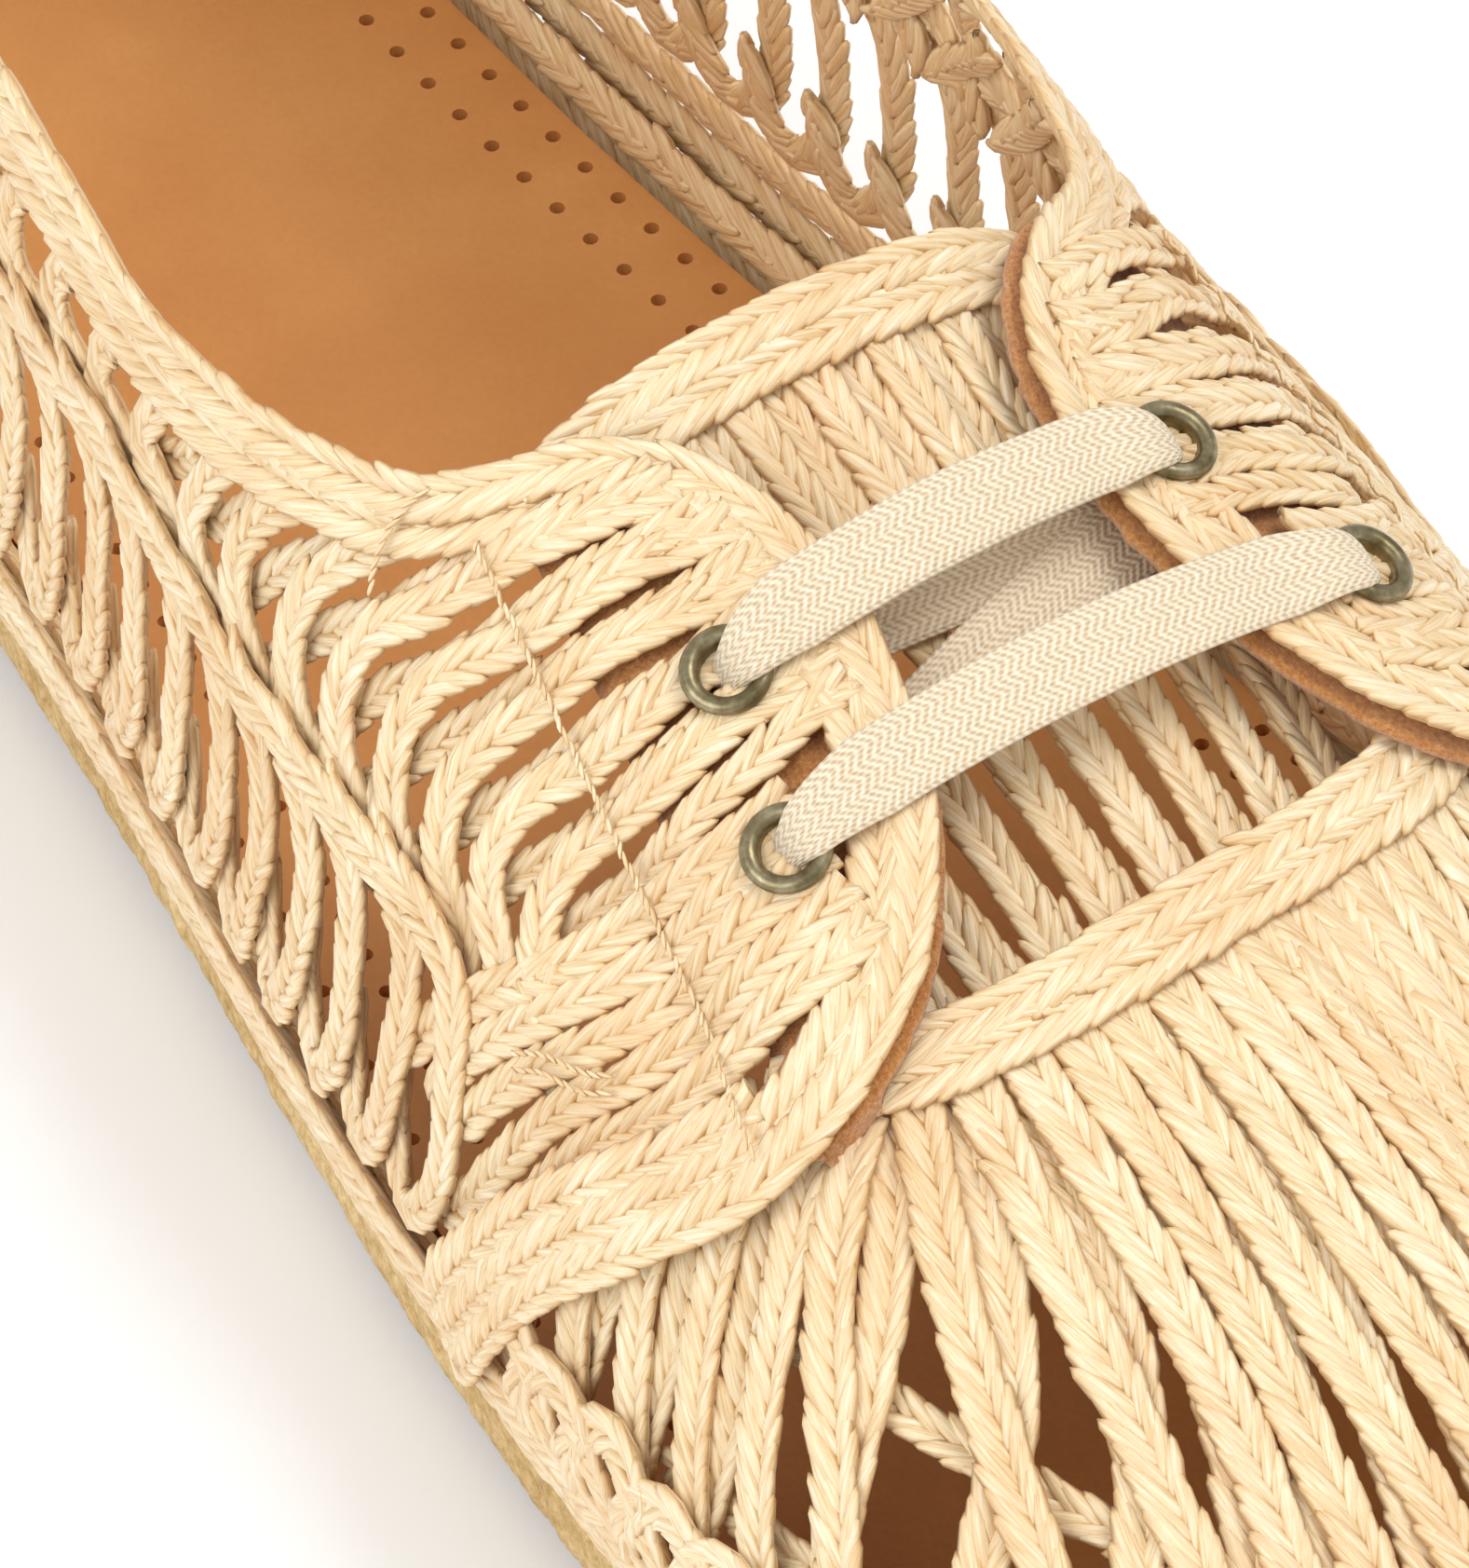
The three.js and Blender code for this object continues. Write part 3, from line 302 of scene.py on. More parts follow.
@dataclass(frozen=True)
class Tab:
    """A facing tab over the instep, its seam and edge in shares of the last's sizes."""

    side: Side
    back: float
    front: float
    seam_back: float
    seam_front: float
    reach: float
    last: Last
    rise_back: float = 1.4
    rise_front: float = 4.1
    square: float = 2.2

    def along(self, x: Grid) -> Grid:
        """Return the share of the tab's length at places along the last."""
        return (np.asarray(x) / self.last.length - self.back) / (self.front - self.back)

    def seam(self, x: Grid) -> Grid:
        """Return the seam's distance from the line Y = 0."""
        ball = self.last.ball
        return (self.seam_back + (self.seam_front - self.seam_back) * self.along(x)) * ball

    def wide(self, x: Grid) -> Grid:
        """Return the tab's reach from the seam to its edge."""
        bow = 1 - np.abs(2 * np.clip(self.along(x), 0, 1) - 1) ** self.square
        return self.reach * self.last.ball * np.maximum(0, bow) ** (1 / self.square)

    def rise(self, x: Grid, y: Grid) -> Grid:
        """Return how far the tab's outer face stands over the skin, 0 away from the tab."""
        along = self.along(x)
        reach = (self.seam(x) - self.side.value * np.asarray(y)) / (self.reach * self.last.ball)
        full = self.rise_back + (self.rise_front - self.rise_back) * smooth(0.05, 0.75, along)
        lift = np.maximum(smooth(-0.1, 0.3, reach), smooth(0.7, 0.95, along) * smooth(-0.5, 0, reach))
        ahead = 1 - smooth(1.02, 1.1, along)
        beyond = self.seam(x) - self.wide(x) - self.side.value * np.asarray(y)
        return full * lift * smooth(-0.25, 0.06, along) * ahead * (1 - smooth(1.5, 5.0, beyond))

    def outline(self, inset: float, steps: int = 160) -> Grid:
        """Return the tab's rounded edge in plan, from back to front, moved in by a length."""
        turn = np.linspace(0.0, math.pi, steps)
        along = 0.5 - 0.5 * np.cos(turn)
        x = (self.back + (self.front - self.back) * along) * self.last.length
        y = self.side.value * (self.seam(x) - self.wide(x))
        line = np.stack([x, y], -1)
        run = unit(np.gradient(line, axis=0))
        normal = np.stack([run[:, 1], -run[:, 0]], -1) * -self.side.value
        return line + normal * inset


@dataclass
class Route:
    """A line that a plait, cord or thread follows, with the outward direction along it."""

    line: Grid
    out: Grid
    width: float = 3.0
    pitch: float = 2.0
    depth: float = 1.0
    bold: bool = False
    tone: float = 0.5


def even_out(line: Grid, out: Grid, step: float = 0.4, soften: float = 0.0) -> tuple[Grid, Grid]:
    """Resample a line at even steps, and soften its corners.

    Args:
        line: points.
        out: outward directions at the points.
        step: length between new points.
        soften: length over which corners are averaged, 0 for none.

    Returns:
        The new points and directions.
    """
    far = length_along(line)
    count = max(6, int(far[-1] / step) + 1)
    at = np.linspace(0, far[-1], count)
    both = np.concatenate([line, out], axis=1)
    both = np.stack([np.interp(at, far, both[:, k]) for k in range(6)], axis=1)
    if soften > 0:
        reach = int(3 * soften / step)
        weight = np.exp(-0.5 * (np.arange(-reach, reach + 1) * step / soften) ** 2)
        weight /= weight.sum()
        start, end = both[:1], both[-1:]
        padded = np.concatenate([2 * start - both[reach:0:-1], both, 2 * end - both[-2 : -reach - 2 : -1]])
        if len(padded) == count + 2 * reach:
            both = np.stack([np.convolve(padded[:, k], weight, "valid") for k in range(6)], axis=1)
    return both[:, :3], unit(both[:, 3:])


class Router:
    """Works out routes on the last's skin and over the facing tabs."""

    unevenness = 0.3

    def __init__(self, last: Last, tabs: Sequence[Tab]) -> None:
        """Keep the last and the tabs."""
        self.last = last
        self.tabs = tuple(tabs)
        self.random = np.random.default_rng(SEED + 3)

    def rise(self, x: Grid, y: Grid) -> Grid:
        """Return how far the outer face stands over the skin where tabs lie."""
        return sum(tab.rise(x, y) for tab in self.tabs)

    def skin(self, knots: Sequence[tuple[float, float, float]], on_tab: bool = False, **look) -> Route:
        """Make a route through knots on the skin.

        Args:
            knots: rows of length round the outline, length up the section, and lift.
            on_tab: whether the route rises over the facing tabs.
            look: the route's width, pitch, depth and tone.

        Returns:
            The route.
        """
        table = np.array(knots, float)
        table[1:-1, :2] += self.random.normal(0, self.unevenness, (len(table) - 2, 2))
        chord = np.r_[0, np.cumsum(np.hypot(*np.diff(table[:, :2], axis=0).T) + 1e-6)]
        count = max(8, int(chord[-1] / 0.6))
        at = natural_spline(chord, table)(np.linspace(0, chord[-1], count))
        climb = self.last.climb_at(at[:, 0], at[:, 1])
        line = self.last.point(at[:, 0], climb)
        out = self.last.out(at[:, 0], climb)
        lift = at[:, 2]
        if on_tab:
            lift = lift + self.rise(line[:, 0], line[:, 1])
        return Route(*even_out(line + out * lift[:, None], out), **look)

    def climbing(self, rounds: Grid, climbs: Grid, lift: Grid, **look) -> Route:
        """Make a route from lengths round the outline and climbs."""
        line = self.last.point(rounds, climbs)
        out = self.last.out(rounds, climbs)
        lift = np.broadcast_to(np.asarray(lift, float), rounds.shape)
        return Route(*even_out(line + out * lift[:, None], out, soften=0.8), **look)

    def plan(self, places: Grid, lift: float, on_tab: bool = True, **look) -> Route:
        """Make a route over places in plan."""
        x, y = places[:, 0], places[:, 1]
        line = self.last.over(x, y)
        out = self.last.upright(x, y)
        high = lift + (self.rise(x, y) if on_tab else 0 * x)
        return Route(*even_out(line + out * high[:, None], out, soften=0.8), **look)

    @staticmethod
    def join(first: Route, second: Route, soften: float = 2.4, **look) -> Route:
        """Make one soft route out of two that follow each other."""
        line = np.concatenate([first.line, second.line])
        out = np.concatenate([first.out, second.out])
        return Route(*even_out(line, out, soften=soften), **look)


@dataclass(frozen=True)
class Lobe:
    """One visible turn of a strand: an almond, slanted from a plait's edge to its middle."""

    long: float
    wide: float
    thick: float
    slant: float
    across: float
    dip: float = 7.0
    segments: int = 6
    rings: int = 5


class StrandShop:
    """Models lobes once with Blender's primitives and lays copies of them along routes."""

    def __init__(self) -> None:
        """Make the stock of lobes."""
        self.random = np.random.default_rng(SEED)
        even = Lobe(5.8, 1.55, 1.2, 20, 0.68)
        self.even = [self.model(even, 1), self.model(even, -1)]
        wide = Lobe(6.2, 1.8, 1.25, 23, 0.42)
        slim = Lobe(5.6, 1.35, 1.15, 14, 0.98)
        self.bold = [self.model(slim, 1), self.model(wide, -1)]
        self.twist = [self.model(Lobe(4.2, 1.35, 1.35, 33, 0.0, dip=0.0), 1)]
        self.ply = [self.model(Lobe(5.2, 1.3, 1.3, 16, 0.0, dip=0.0), 1)]

    @staticmethod
    def model(lobe: Lobe, side: int) -> dict:
        """Model one lobe in edit mode and read its mesh back.

        Args:
            lobe: the lobe's sizes in millimetres.
            side: 1 for the left half of a plait, -1 for the right half.

        Returns:
            Its points, its own lengthwise coordinates, and its faces as triangles and quads.
        """
        bpy.ops.mesh.primitive_uv_sphere_add(segments=lobe.segments, ring_count=lobe.rings, radius=0.5)
        made = bpy.context.object
        bpy.ops.object.mode_set(mode="EDIT")
        bpy.ops.transform.rotate(value=math.pi / 2, orient_axis="Y", center_override=(0, 0, 0))
        bpy.ops.transform.resize(value=(lobe.long, lobe.wide, lobe.thick), center_override=(0, 0, 0))
        bpy.ops.object.mode_set(mode="OBJECT")
        own = np.array([vertex.co[:] for vertex in made.data.vertices])
        faces = [tuple(face.vertices) for face in made.data.polygons]
        bpy.data.meshes.remove(made.data)
        belly = 1 - (2 * own[:, 0] / lobe.long) ** 2
        own_y = own[:, 1] * (0.72 + 0.28 * belly)
        turn = math.radians(-side * lobe.slant)
        lean = math.radians(lobe.dip)
        x = own[:, 0] * math.cos(turn) - own_y * math.sin(turn)
        y = own[:, 0] * math.sin(turn) + own_y * math.cos(turn) + side * lobe.across
        z = own[:, 2] + 0.18 * belly - own[:, 0] * math.sin(lean)
        rim = np.clip(0.5 + own[:, 2] / lobe.thick, 0, 1)
        return {"points": np.stack([x, y, z], -1), "own": own, "rim": rim, "faces": faces}

    def lay(self, route: Route, stock: Sequence[dict]) -> list[tuple]:
        """Lay lobes along a route.

        Args:
            route: the line to follow.
            stock: the lobes that follow each other within one pitch.

        Returns:
            For each lobe of the stock: points, fibre coordinates, strand tones and faces.
        """
        far = length_along(route.line)
        run = unit(np.gradient(route.line, axis=0))
        side = unit(np.cross(route.out, run))
        out = unit(np.cross(run, side))
        pitch = route.pitch
        turns = max(2, int(far[-1] / pitch))
        scale = route.width / 3.0
        laid = []
        for order, lobe in enumerate(stock):
            start = (np.arange(turns) + order / len(stock)) * pitch
            start = start + self.random.normal(0, 0.06 * pitch, turns)
            size = 1 + self.random.normal(0, 0.05, (turns, 1))
            stretch = 1 + self.random.normal(0, 0.08, (turns, 1))
            lean = self.random.normal(0, 0.035, (turns, 1))
            x = start[:, None] + lobe["points"][None, :, 0] * scale * stretch
            x = np.clip(x, 0, far[-1])
            y = (lobe["points"][None, :, 1] + lean * lobe["points"][None, :, 0]) * scale * size
            z = lobe["points"][None, :, 2] * scale * route.depth * size
            z = z + self.random.normal(0, 0.05, (turns, 1))
            points = [
                np.interp(x, far, route.line[:, k])
                + y * np.interp(x, far, side[:, k])
                + z * np.interp(x, far, out[:, k])
                for k in range(3)
            ]
            shift = self.random.uniform(0, 60, (turns, 1, 2))
            fibre = lobe["own"][None, :, :2] * scale + shift
            tone = 0.65 * self.random.beta(2.2, 2.2, turns) + 0.35 * route.tone
            tone = np.stack(np.broadcast_arrays(tone[:, None], lobe["rim"][None, :]), -1)
            laid.append((np.stack(points, -1), fibre, tone, lobe["faces"]))
        return laid

    def weave(self, name: str, routes: Sequence[Route], twisted: bool = False) -> bpy.types.Object:
        """Make one piece of all the lobes along its routes.

        Args:
            name: the piece's name.
            routes: the plaits, or cords where twisted is set.
            twisted: whether the routes are twisted cords.

        Returns:
            The piece.
        """
        places, fibres, tones, corners, totals = [], [], [], [], []
        base = 0
        for route in routes:
            stock = self.bold if route.bold else self.even
            if twisted:
                stock = self.ply if route.width < 2 else self.twist
            for points, fibre, tone, faces in self.lay(route, stock):
                turns, count = points.shape[:2]
                flat = np.concatenate([np.array(face) for face in faces])
                starts = base + np.arange(turns)[:, None] * count
                corners.append((starts + flat[None, :]).ravel())
                totals.append(np.tile([len(face) for face in faces], turns))
                places.append(points.reshape(-1, 3))
                fibres.append(fibre.reshape(-1, 2))
                tones.append(tone.reshape(-1, 2))
                base += turns * count
        return mesh_piece(name, places, corners, totals, fibres, tones)


def to_frame(points: Grid) -> Grid:
    """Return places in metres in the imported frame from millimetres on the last."""
    return (np.asarray(points, float) - np.array([LAST.length / 2, 0, 0])) * MM


def mesh_piece(
    name: str,
    points: Sequence[Grid],
    corners: Sequence[Grid],
    totals: Sequence[Grid],
    fibre: Sequence[Grid] = (),
    tone: Sequence[Grid] = (),
) -> bpy.types.Object:
    """Make a piece from lists of arrays that follow each other.

    Args:
        name: the piece's name.
        points: places in millimetres on the last.
        corners: the faces' corners, one face after the other.
        totals: the number of corners of each face.
        fibre: lengthwise and crosswise coordinates at the points.
        tone: strand tones and places over the strand's thickness at the points.

    Returns:
        The piece, smooth shaded, at the origin.
    """
    mesh = bpy.data.meshes.new(name)
    points = np.concatenate(points)
    corners = np.concatenate(corners).astype(np.int32)
    totals = np.concatenate(totals).astype(np.int32)
    mesh.vertices.add(len(points))
    mesh.vertices.foreach_set("co", to_frame(points).astype(np.float32).ravel())
    mesh.loops.add(len(corners))
    mesh.loops.foreach_set("vertex_index", corners)
    mesh.polygons.add(len(totals))
    mesh.polygons.foreach_set("loop_start", np.r_[0, np.cumsum(totals)[:-1]].astype(np.int32))
    mesh.update(calc_edges=True)
    if len(fibre):
        layer = mesh.uv_layers.new(name="Fibre")
        layer.data.foreach_set("uv", np.concatenate(fibre)[corners].astype(np.float32).ravel())
    if len(tone):
        for column, title in enumerate(("strand", "rim")):
            attribute = mesh.attributes.new(title, "FLOAT", "POINT")
            attribute.data.foreach_set("value", np.concatenate(tone)[:, column].astype(np.float32))
    mesh.shade_smooth()
    mesh.validate()
    piece = bpy.data.objects.new(name, mesh)
    bpy.context.scene.collection.objects.link(piece)
    return piece


def sweep_faces(rings: int, sides: int) -> tuple[Grid, Grid]:
    """Return corners and totals of a tube of quads, its ends closed by one face each."""
    corners, totals = [], []
    for i in range(rings - 1):
        for k in range(sides):
            a, b = i * sides + k, i * sides + (k + 1) % sides
            corners += [a, b, b + sides, a + sides]
            totals.append(4)
    corners += list(range(sides))[::-1] + list(range((rings - 1) * sides, rings * sides))
    return np.array(corners), np.array([*totals, sides, sides])


LAST = Last()
EDGE_ROWS = ((-3, -0.5), (-22, -0.6), (-42, -0.6), (-60, -0.9), (-30, -3.0))
TABS = (
    Tab(Side.LATERAL, 0.506, 0.697, 0.255, 0.325, 0.216, LAST),
    Tab(Side.MEDIAL, 0.5, 0.697, 0.345, 0.395, 0.225, LAST),
)


def tab_on(side: Side) -> Tab:
    """Return the facing tab of one side."""
    return TABS[0 if side is Side.LATERAL else 1]


def linear(code: str) -> tuple[float, float, float, float]:
    """Return a colour in linear light from its six-digit web code."""
    parts = [int(code[i : i + 2], 16) / 255 for i in (0, 2, 4)]
    parts = [v / 12.92 if v <= 0.04045 else ((v + 0.055) / 1.055) ** 2.4 for v in parts]
    return (*parts, 1.0)


class Shader:
    """A material's node tree, built step by step."""

    def __init__(self, name: str, roughness: float, metallic: float = 0.0, specular: float = 0.5) -> None:
        """Make the material and set its even values."""
        self.material = bpy.data.materials.new(name)
        self.material.use_nodes = True
        self.tree = self.material.node_tree
        self.surface = self.tree.nodes["Principled BSDF"]
        self.surface.inputs["Roughness"].default_value = roughness
        self.surface.inputs["Metallic"].default_value = metallic
        self.surface.inputs["Specular IOR Level"].default_value = specular

    def node(self, kind: str, **values) -> bpy.types.Node:
        """Add a node and set values of its own or of its sockets."""
        made = self.tree.nodes.new(kind)
        for key, value in values.items():
            if key in made.inputs:
                made.inputs[key].default_value = value
            else:
                setattr(made, key, value)
        return made

    def link(self, start: bpy.types.NodeSocket, end: bpy.types.NodeSocket) -> None:
        """Join two sockets."""
        self.tree.links.new(start, end)

    def mapped(self, scale: tuple[float, float, float], fibre: bool = False) -> bpy.types.NodeSocket:
        """Return coordinates, the object's own in metres or the strand's in millimetres."""
        if fibre:
            source = self.node("ShaderNodeUVMap", uv_map="Fibre").outputs["UV"]
        else:
            source = self.node("ShaderNodeTexCoord").outputs["Object"]
        mapping = self.node("ShaderNodeMapping")
        mapping.inputs["Scale"].default_value = scale
        self.link(source, mapping.inputs["Vector"])
        return mapping.outputs["Vector"]

    def feed(self, socket: bpy.types.NodeSocket, value) -> None:
        """Join a socket to another, or set its value."""
        if isinstance(value, bpy.types.NodeSocket):
            self.link(value, socket)
        else:
            socket.default_value = value

    def attribute(self, name: str) -> bpy.types.NodeSocket:
        """Return an attribute of the strands."""
        return self.node("ShaderNodeAttribute", attribute_name=name).outputs["Fac"]

    def cells(self, vector: bpy.types.NodeSocket, **values) -> bpy.types.NodeSocket:
        """Return a cell texture's distances."""
        made = self.node("ShaderNodeTexVoronoi", **values)
        self.link(vector, made.inputs["Vector"])
        return made.outputs["Distance"]

    def noise(self, vector: bpy.types.NodeSocket, scale: float, detail: float = 4.0, rough: float = 0.6):
        """Return a noise texture's value."""
        made = self.node("ShaderNodeTexNoise", Scale=scale, Detail=detail, Roughness=rough)
        self.link(vector, made.inputs["Vector"])
        return made.outputs["Fac"]

    def ramp(self, value: bpy.types.NodeSocket, stops: Sequence[tuple[float, str]]):
        """Return colours from a value through named stops."""
        made = self.node("ShaderNodeValToRGB")
        elements = made.color_ramp.elements
        while len(elements) < len(stops):
            elements.new(0.5)
        for element, (place, code) in zip(elements, stops):
            element.position = place
            element.color = linear(code)
        self.link(value, made.inputs["Fac"])
        return made.outputs["Color"]

    def mix(self, share, first, second, blend: str = "MIX"):
        """Return a mix of two colours, by a socket or a number."""
        made = self.node("ShaderNodeMix", data_type="RGBA", blend_type=blend)
        for place, value in ((0, share), (6, first), (7, second)):
            self.feed(made.inputs[place], value)
        return made.outputs[2]

    def tinted(self, colour, value: bpy.types.NodeSocket, share: float, *stops: tuple[float, str]):
        """Return a colour darkened by a share of a ramp over a value."""
        return self.mix(share, colour, self.ramp(value, stops), "MULTIPLY")

    def sheen(self, weight: float, roughness: float) -> None:
        """Give the surface a soft sheen."""
        self.surface.inputs["Sheen Weight"].default_value = weight
        self.surface.inputs["Sheen Roughness"].default_value = roughness

    def calculate(self, kind: str, first, second=0.0) -> bpy.types.NodeSocket:
        """Return the value of a math node."""
        made = self.node("ShaderNodeMath", operation=kind)
        self.feed(made.inputs[0], first)
        self.feed(made.inputs[1], second)
        return made.outputs[0]

    def bump(self, height: bpy.types.NodeSocket, strength: float, distance: float, under=None):
        """Return a bumped normal, over another one where given."""
        made = self.node("ShaderNodeBump", Strength=strength, Distance=distance)
        self.link(height, made.inputs["Height"])
        if under is not None:
            self.link(under, made.inputs["Normal"])
        return made.outputs["Normal"]

    def finish(self, colour, normal=None, roughness=None) -> bpy.types.Material:
        """Join colour, normal and roughness to the surface."""
        for name, socket in (("Base Color", colour), ("Normal", normal), ("Roughness", roughness)):
            if socket is not None:
                self.link(socket, self.surface.inputs[name])
        return self.material


@dataclass(frozen=True)
class Raffia:
    """Dried palm leaf: cream strands of uneven tone, with fine fibres along them, and painted shade on each
    lobe's sides.
    """

    shade: str = "C9A670"
    straw: str = "DDBE88"
    cream: str = "ECD9B2"
    pale: str = "F6EBD2"

    def make(self) -> bpy.types.Material:
        """Return the material."""
        s = Shader("raffia", 0.46, specular=0.42)
        fine = s.noise(s.mapped((0.22, 5.4, 1.0), True), 1.0, 5.0, 0.72)
        broad = s.noise(s.mapped((0.15, 2.2, 1.0), True), 1.0, 2.0, 0.5)
        blotch = s.noise(s.mapped((70, 70, 70)), 1.0, 2.0, 0.5)
        base = s.ramp(s.attribute("strand"), ((0.1, self.straw), (0.45, self.cream), (0.85, self.pale)))
        streak = s.ramp(fine, ((0.34, self.shade), (0.46, self.cream), (0.56, self.pale), (0.66, "FFFAEA")))
        colour = s.mix(0.62, base, streak)
        # painted shade: a ramp over each lobe's thickness darkens its sides brown where it dips between its
        # neighbours; its top keeps its colour and its underside is barely darkened
        seam = ((0.32, "FCEFD9"), (0.5, "BC8D52"), (0.66, "EAD4B0"), (0.84, "FFFFFF"))
        colour = s.tinted(colour, s.attribute("rim"), 0.68, *seam)
        colour = s.tinted(colour, broad, 0.42, (0.35, "E0C190"), (0.6, "FFFFFF"))
        colour = s.tinted(colour, blotch, 0.5, (0.4, "F5E2CB"), (0.62, "FFFDF8"))
        s.sheen(0.12, 0.4)
        return s.finish(colour, s.bump(fine, 0.5, 0.00009, s.bump(broad, 0.35, 0.00018)))


@dataclass(frozen=True)
class FootbedLeather:
    """Tan vegetable leather of the insole, softly grained and a little darker in patches."""

    dark: str = "BE7F43"
    mid: str = "C98A4B"
    light: str = "D39757"

    def make(self) -> bpy.types.Material:
        """Return the material."""
        s = Shader("footbed leather", 0.5, specular=0.4)
        place = s.mapped((1, 1, 1))
        cloud = s.noise(place, 28.0, 4.0, 0.6)
        grain = s.noise(place, 1500.0, 3.0, 0.7)
        pores = s.cells(place, Scale=1100.0)
        colour = s.ramp(cloud, ((0.25, self.dark), (0.5, self.mid), (0.75, self.light)))
        colour = s.tinted(colour, grain, 0.2, (0.3, "E6D8CA"), (0.6, "FFFFFF"))
        return s.finish(colour, s.bump(grain, 0.2, 0.0001, s.bump(pores, 0.18, 0.0002)))


@dataclass(frozen=True)
class Suede:
    """Orange-brown split leather with a raised nap."""

    dark: str = "A65F1C"
    mid: str = "D08A3A"
    light: str = "EBB26A"

    def make(self) -> bpy.types.Material:
        """Return the material."""
        s = Shader("suede", 0.95, specular=0.15)
        place = s.mapped((1, 1, 1))
        nap = s.noise(place, 2400.0, 4.0, 0.75)
        cloud = s.noise(place, 160.0, 3.0, 0.6)
        colour = s.ramp(nap, ((0.3, self.dark), (0.5, self.mid), (0.7, self.light)))
        colour = s.tinted(colour, cloud, 0.6, (0.3, "E2C6A4"), (0.6, "FFFFFF"))
        s.sheen(0.5, 0.6)
        return s.finish(colour, s.bump(nap, 0.9, 0.0004))


@dataclass(frozen=True)
class AntiqueBrass:
    """Rolled brass, toned dark and rubbed brighter where it stands proud."""

    dark: str = "665B3C"
    mid: str = "877C60"
    bright: str = "B1A688"

    def make(self) -> bpy.types.Material:
        """Return the material."""
        s = Shader("antique brass", 0.36, metallic=1.0)
        tone = s.noise(s.mapped((1, 1, 1)), 520.0, 4.0, 0.6)
        scratch = s.noise(s.mapped((900, 5200, 900)), 1.0, 3.0, 0.6)
        colour = s.ramp(tone, ((0.3, self.dark), (0.5, self.mid), (0.72, self.bright)))
        rough = s.node("ShaderNodeMapRange")
        for name, value in (("To Min", 0.24), ("To Max", 0.5), ("Value", scratch)):
            s.feed(rough.inputs[name], value)
        return s.finish(colour, s.bump(scratch, 0.12, 0.00005), rough.outputs["Result"])


@dataclass(frozen=True)
class CottonTape:
    """Flat lace in unbleached cotton, woven in a fine herringbone."""

    dark: str = "CBB391"
    mid: str = "E4D3B6"
    light: str = "F1E5CF"
    thread: float = 0.8
    zigzag: float = 1.04

    def make(self) -> bpy.types.Material:
        """Return the material."""
        s = Shader("cotton tape", 0.85, specular=0.2)
        uv = s.node("ShaderNodeUVMap", uv_map="Fibre").outputs["UV"]
        split = s.node("ShaderNodeSeparateXYZ")
        s.link(uv, split.inputs[0])
        fold = s.calculate("PINGPONG", split.outputs["Y"], self.zigzag)
        slanted = s.calculate("ADD", split.outputs["X"], s.calculate("MULTIPLY", fold, 0.9))
        wave = s.calculate("SINE", s.calculate("MULTIPLY", slanted, 2 * math.pi / self.thread))
        cross = s.calculate("SINE", s.calculate("MULTIPLY", split.outputs["Y"], 2 * math.pi / 0.36))
        weave = s.calculate("ADD", wave, s.calculate("MULTIPLY", cross, 0.55))
        level = s.calculate("MULTIPLY", s.calculate("ADD", weave, 1.5), 0.33)
        fuzz = s.noise(s.mapped((1, 1, 1)), 2600.0, 3.0, 0.7)
        colour = s.ramp(level, ((0.05, self.dark), (0.45, self.mid), (0.8, self.light)))
        colour = s.tinted(colour, fuzz, 0.5, (0.3, "DDD0BD"), (0.6, "FFFFFF"))
        s.surface.inputs["Sheen Weight"].default_value = 0.25
        return s.finish(colour, s.bump(fuzz, 0.3, 0.0001, s.bump(level, 0.7, 0.00016)))


@dataclass(frozen=True)
class JuteRope:
    """Twisted jute of the midsole, hairy and golden brown."""

    dark: str = "B08F5C"
    mid: str = "D6B985"
    light: str = "EAD5A8"

    def make(self) -> bpy.types.Material:
        """Return the material."""
        s = Shader("jute rope", 0.85, specular=0.2)
        place = s.mapped((1, 1, 1))
        fibre = s.noise(place, 900.0, 5.0, 0.75)
        cloud = s.noise(place, 90.0, 3.0, 0.6)
        colour = s.ramp(fibre, ((0.28, self.dark), (0.5, self.mid), (0.7, self.light)))
        colour = s.tinted(colour, cloud, 0.5, (0.3, "CDB48C"), (0.65, "FFFFFF"))
        return s.finish(colour, s.bump(fibre, 0.6, 0.0003))


@dataclass(frozen=True)
class CrepeRubber:
    """Pressed natural rubber of the outsole, with a fine waffle underfoot."""

    dark: str = "B89A70"
    light: str = "D6BA8E"

    def make(self) -> bpy.types.Material:
        """Return the material."""
        s = Shader("crepe rubber", 0.7, specular=0.35)
        place = s.mapped((1, 1, 1))
        cloud = s.noise(place, 60.0, 4.0, 0.6)
        fine = s.noise(place, 1300.0, 3.0, 0.6)
        waffle = s.cells(place, Scale=230.0, distance="CHEBYCHEV", Randomness=0.0)
        colour = s.ramp(cloud, ((0.3, self.dark), (0.7, self.light)))
        return s.finish(colour, s.bump(fine, 0.25, 0.0001, s.bump(waffle, 0.6, 0.0005)))


def dress(piece: bpy.types.Object, material: bpy.types.Material) -> None:
    """Put one material on a piece."""
    piece.data.materials.clear()
    piece.data.materials.append(material)


def settle(piece: bpy.types.Object, slot: str, material: bpy.types.Material, *stands_for: str) -> None:
    """Dress a new piece, put it on the shoe's body and hide the parts it stands for."""
    dress(piece, material)
    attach(piece, "root")
    if stands_for:
        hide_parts(*stands_for)
    log.info("%s: %d faces", piece.name, len(piece.data.polygons))


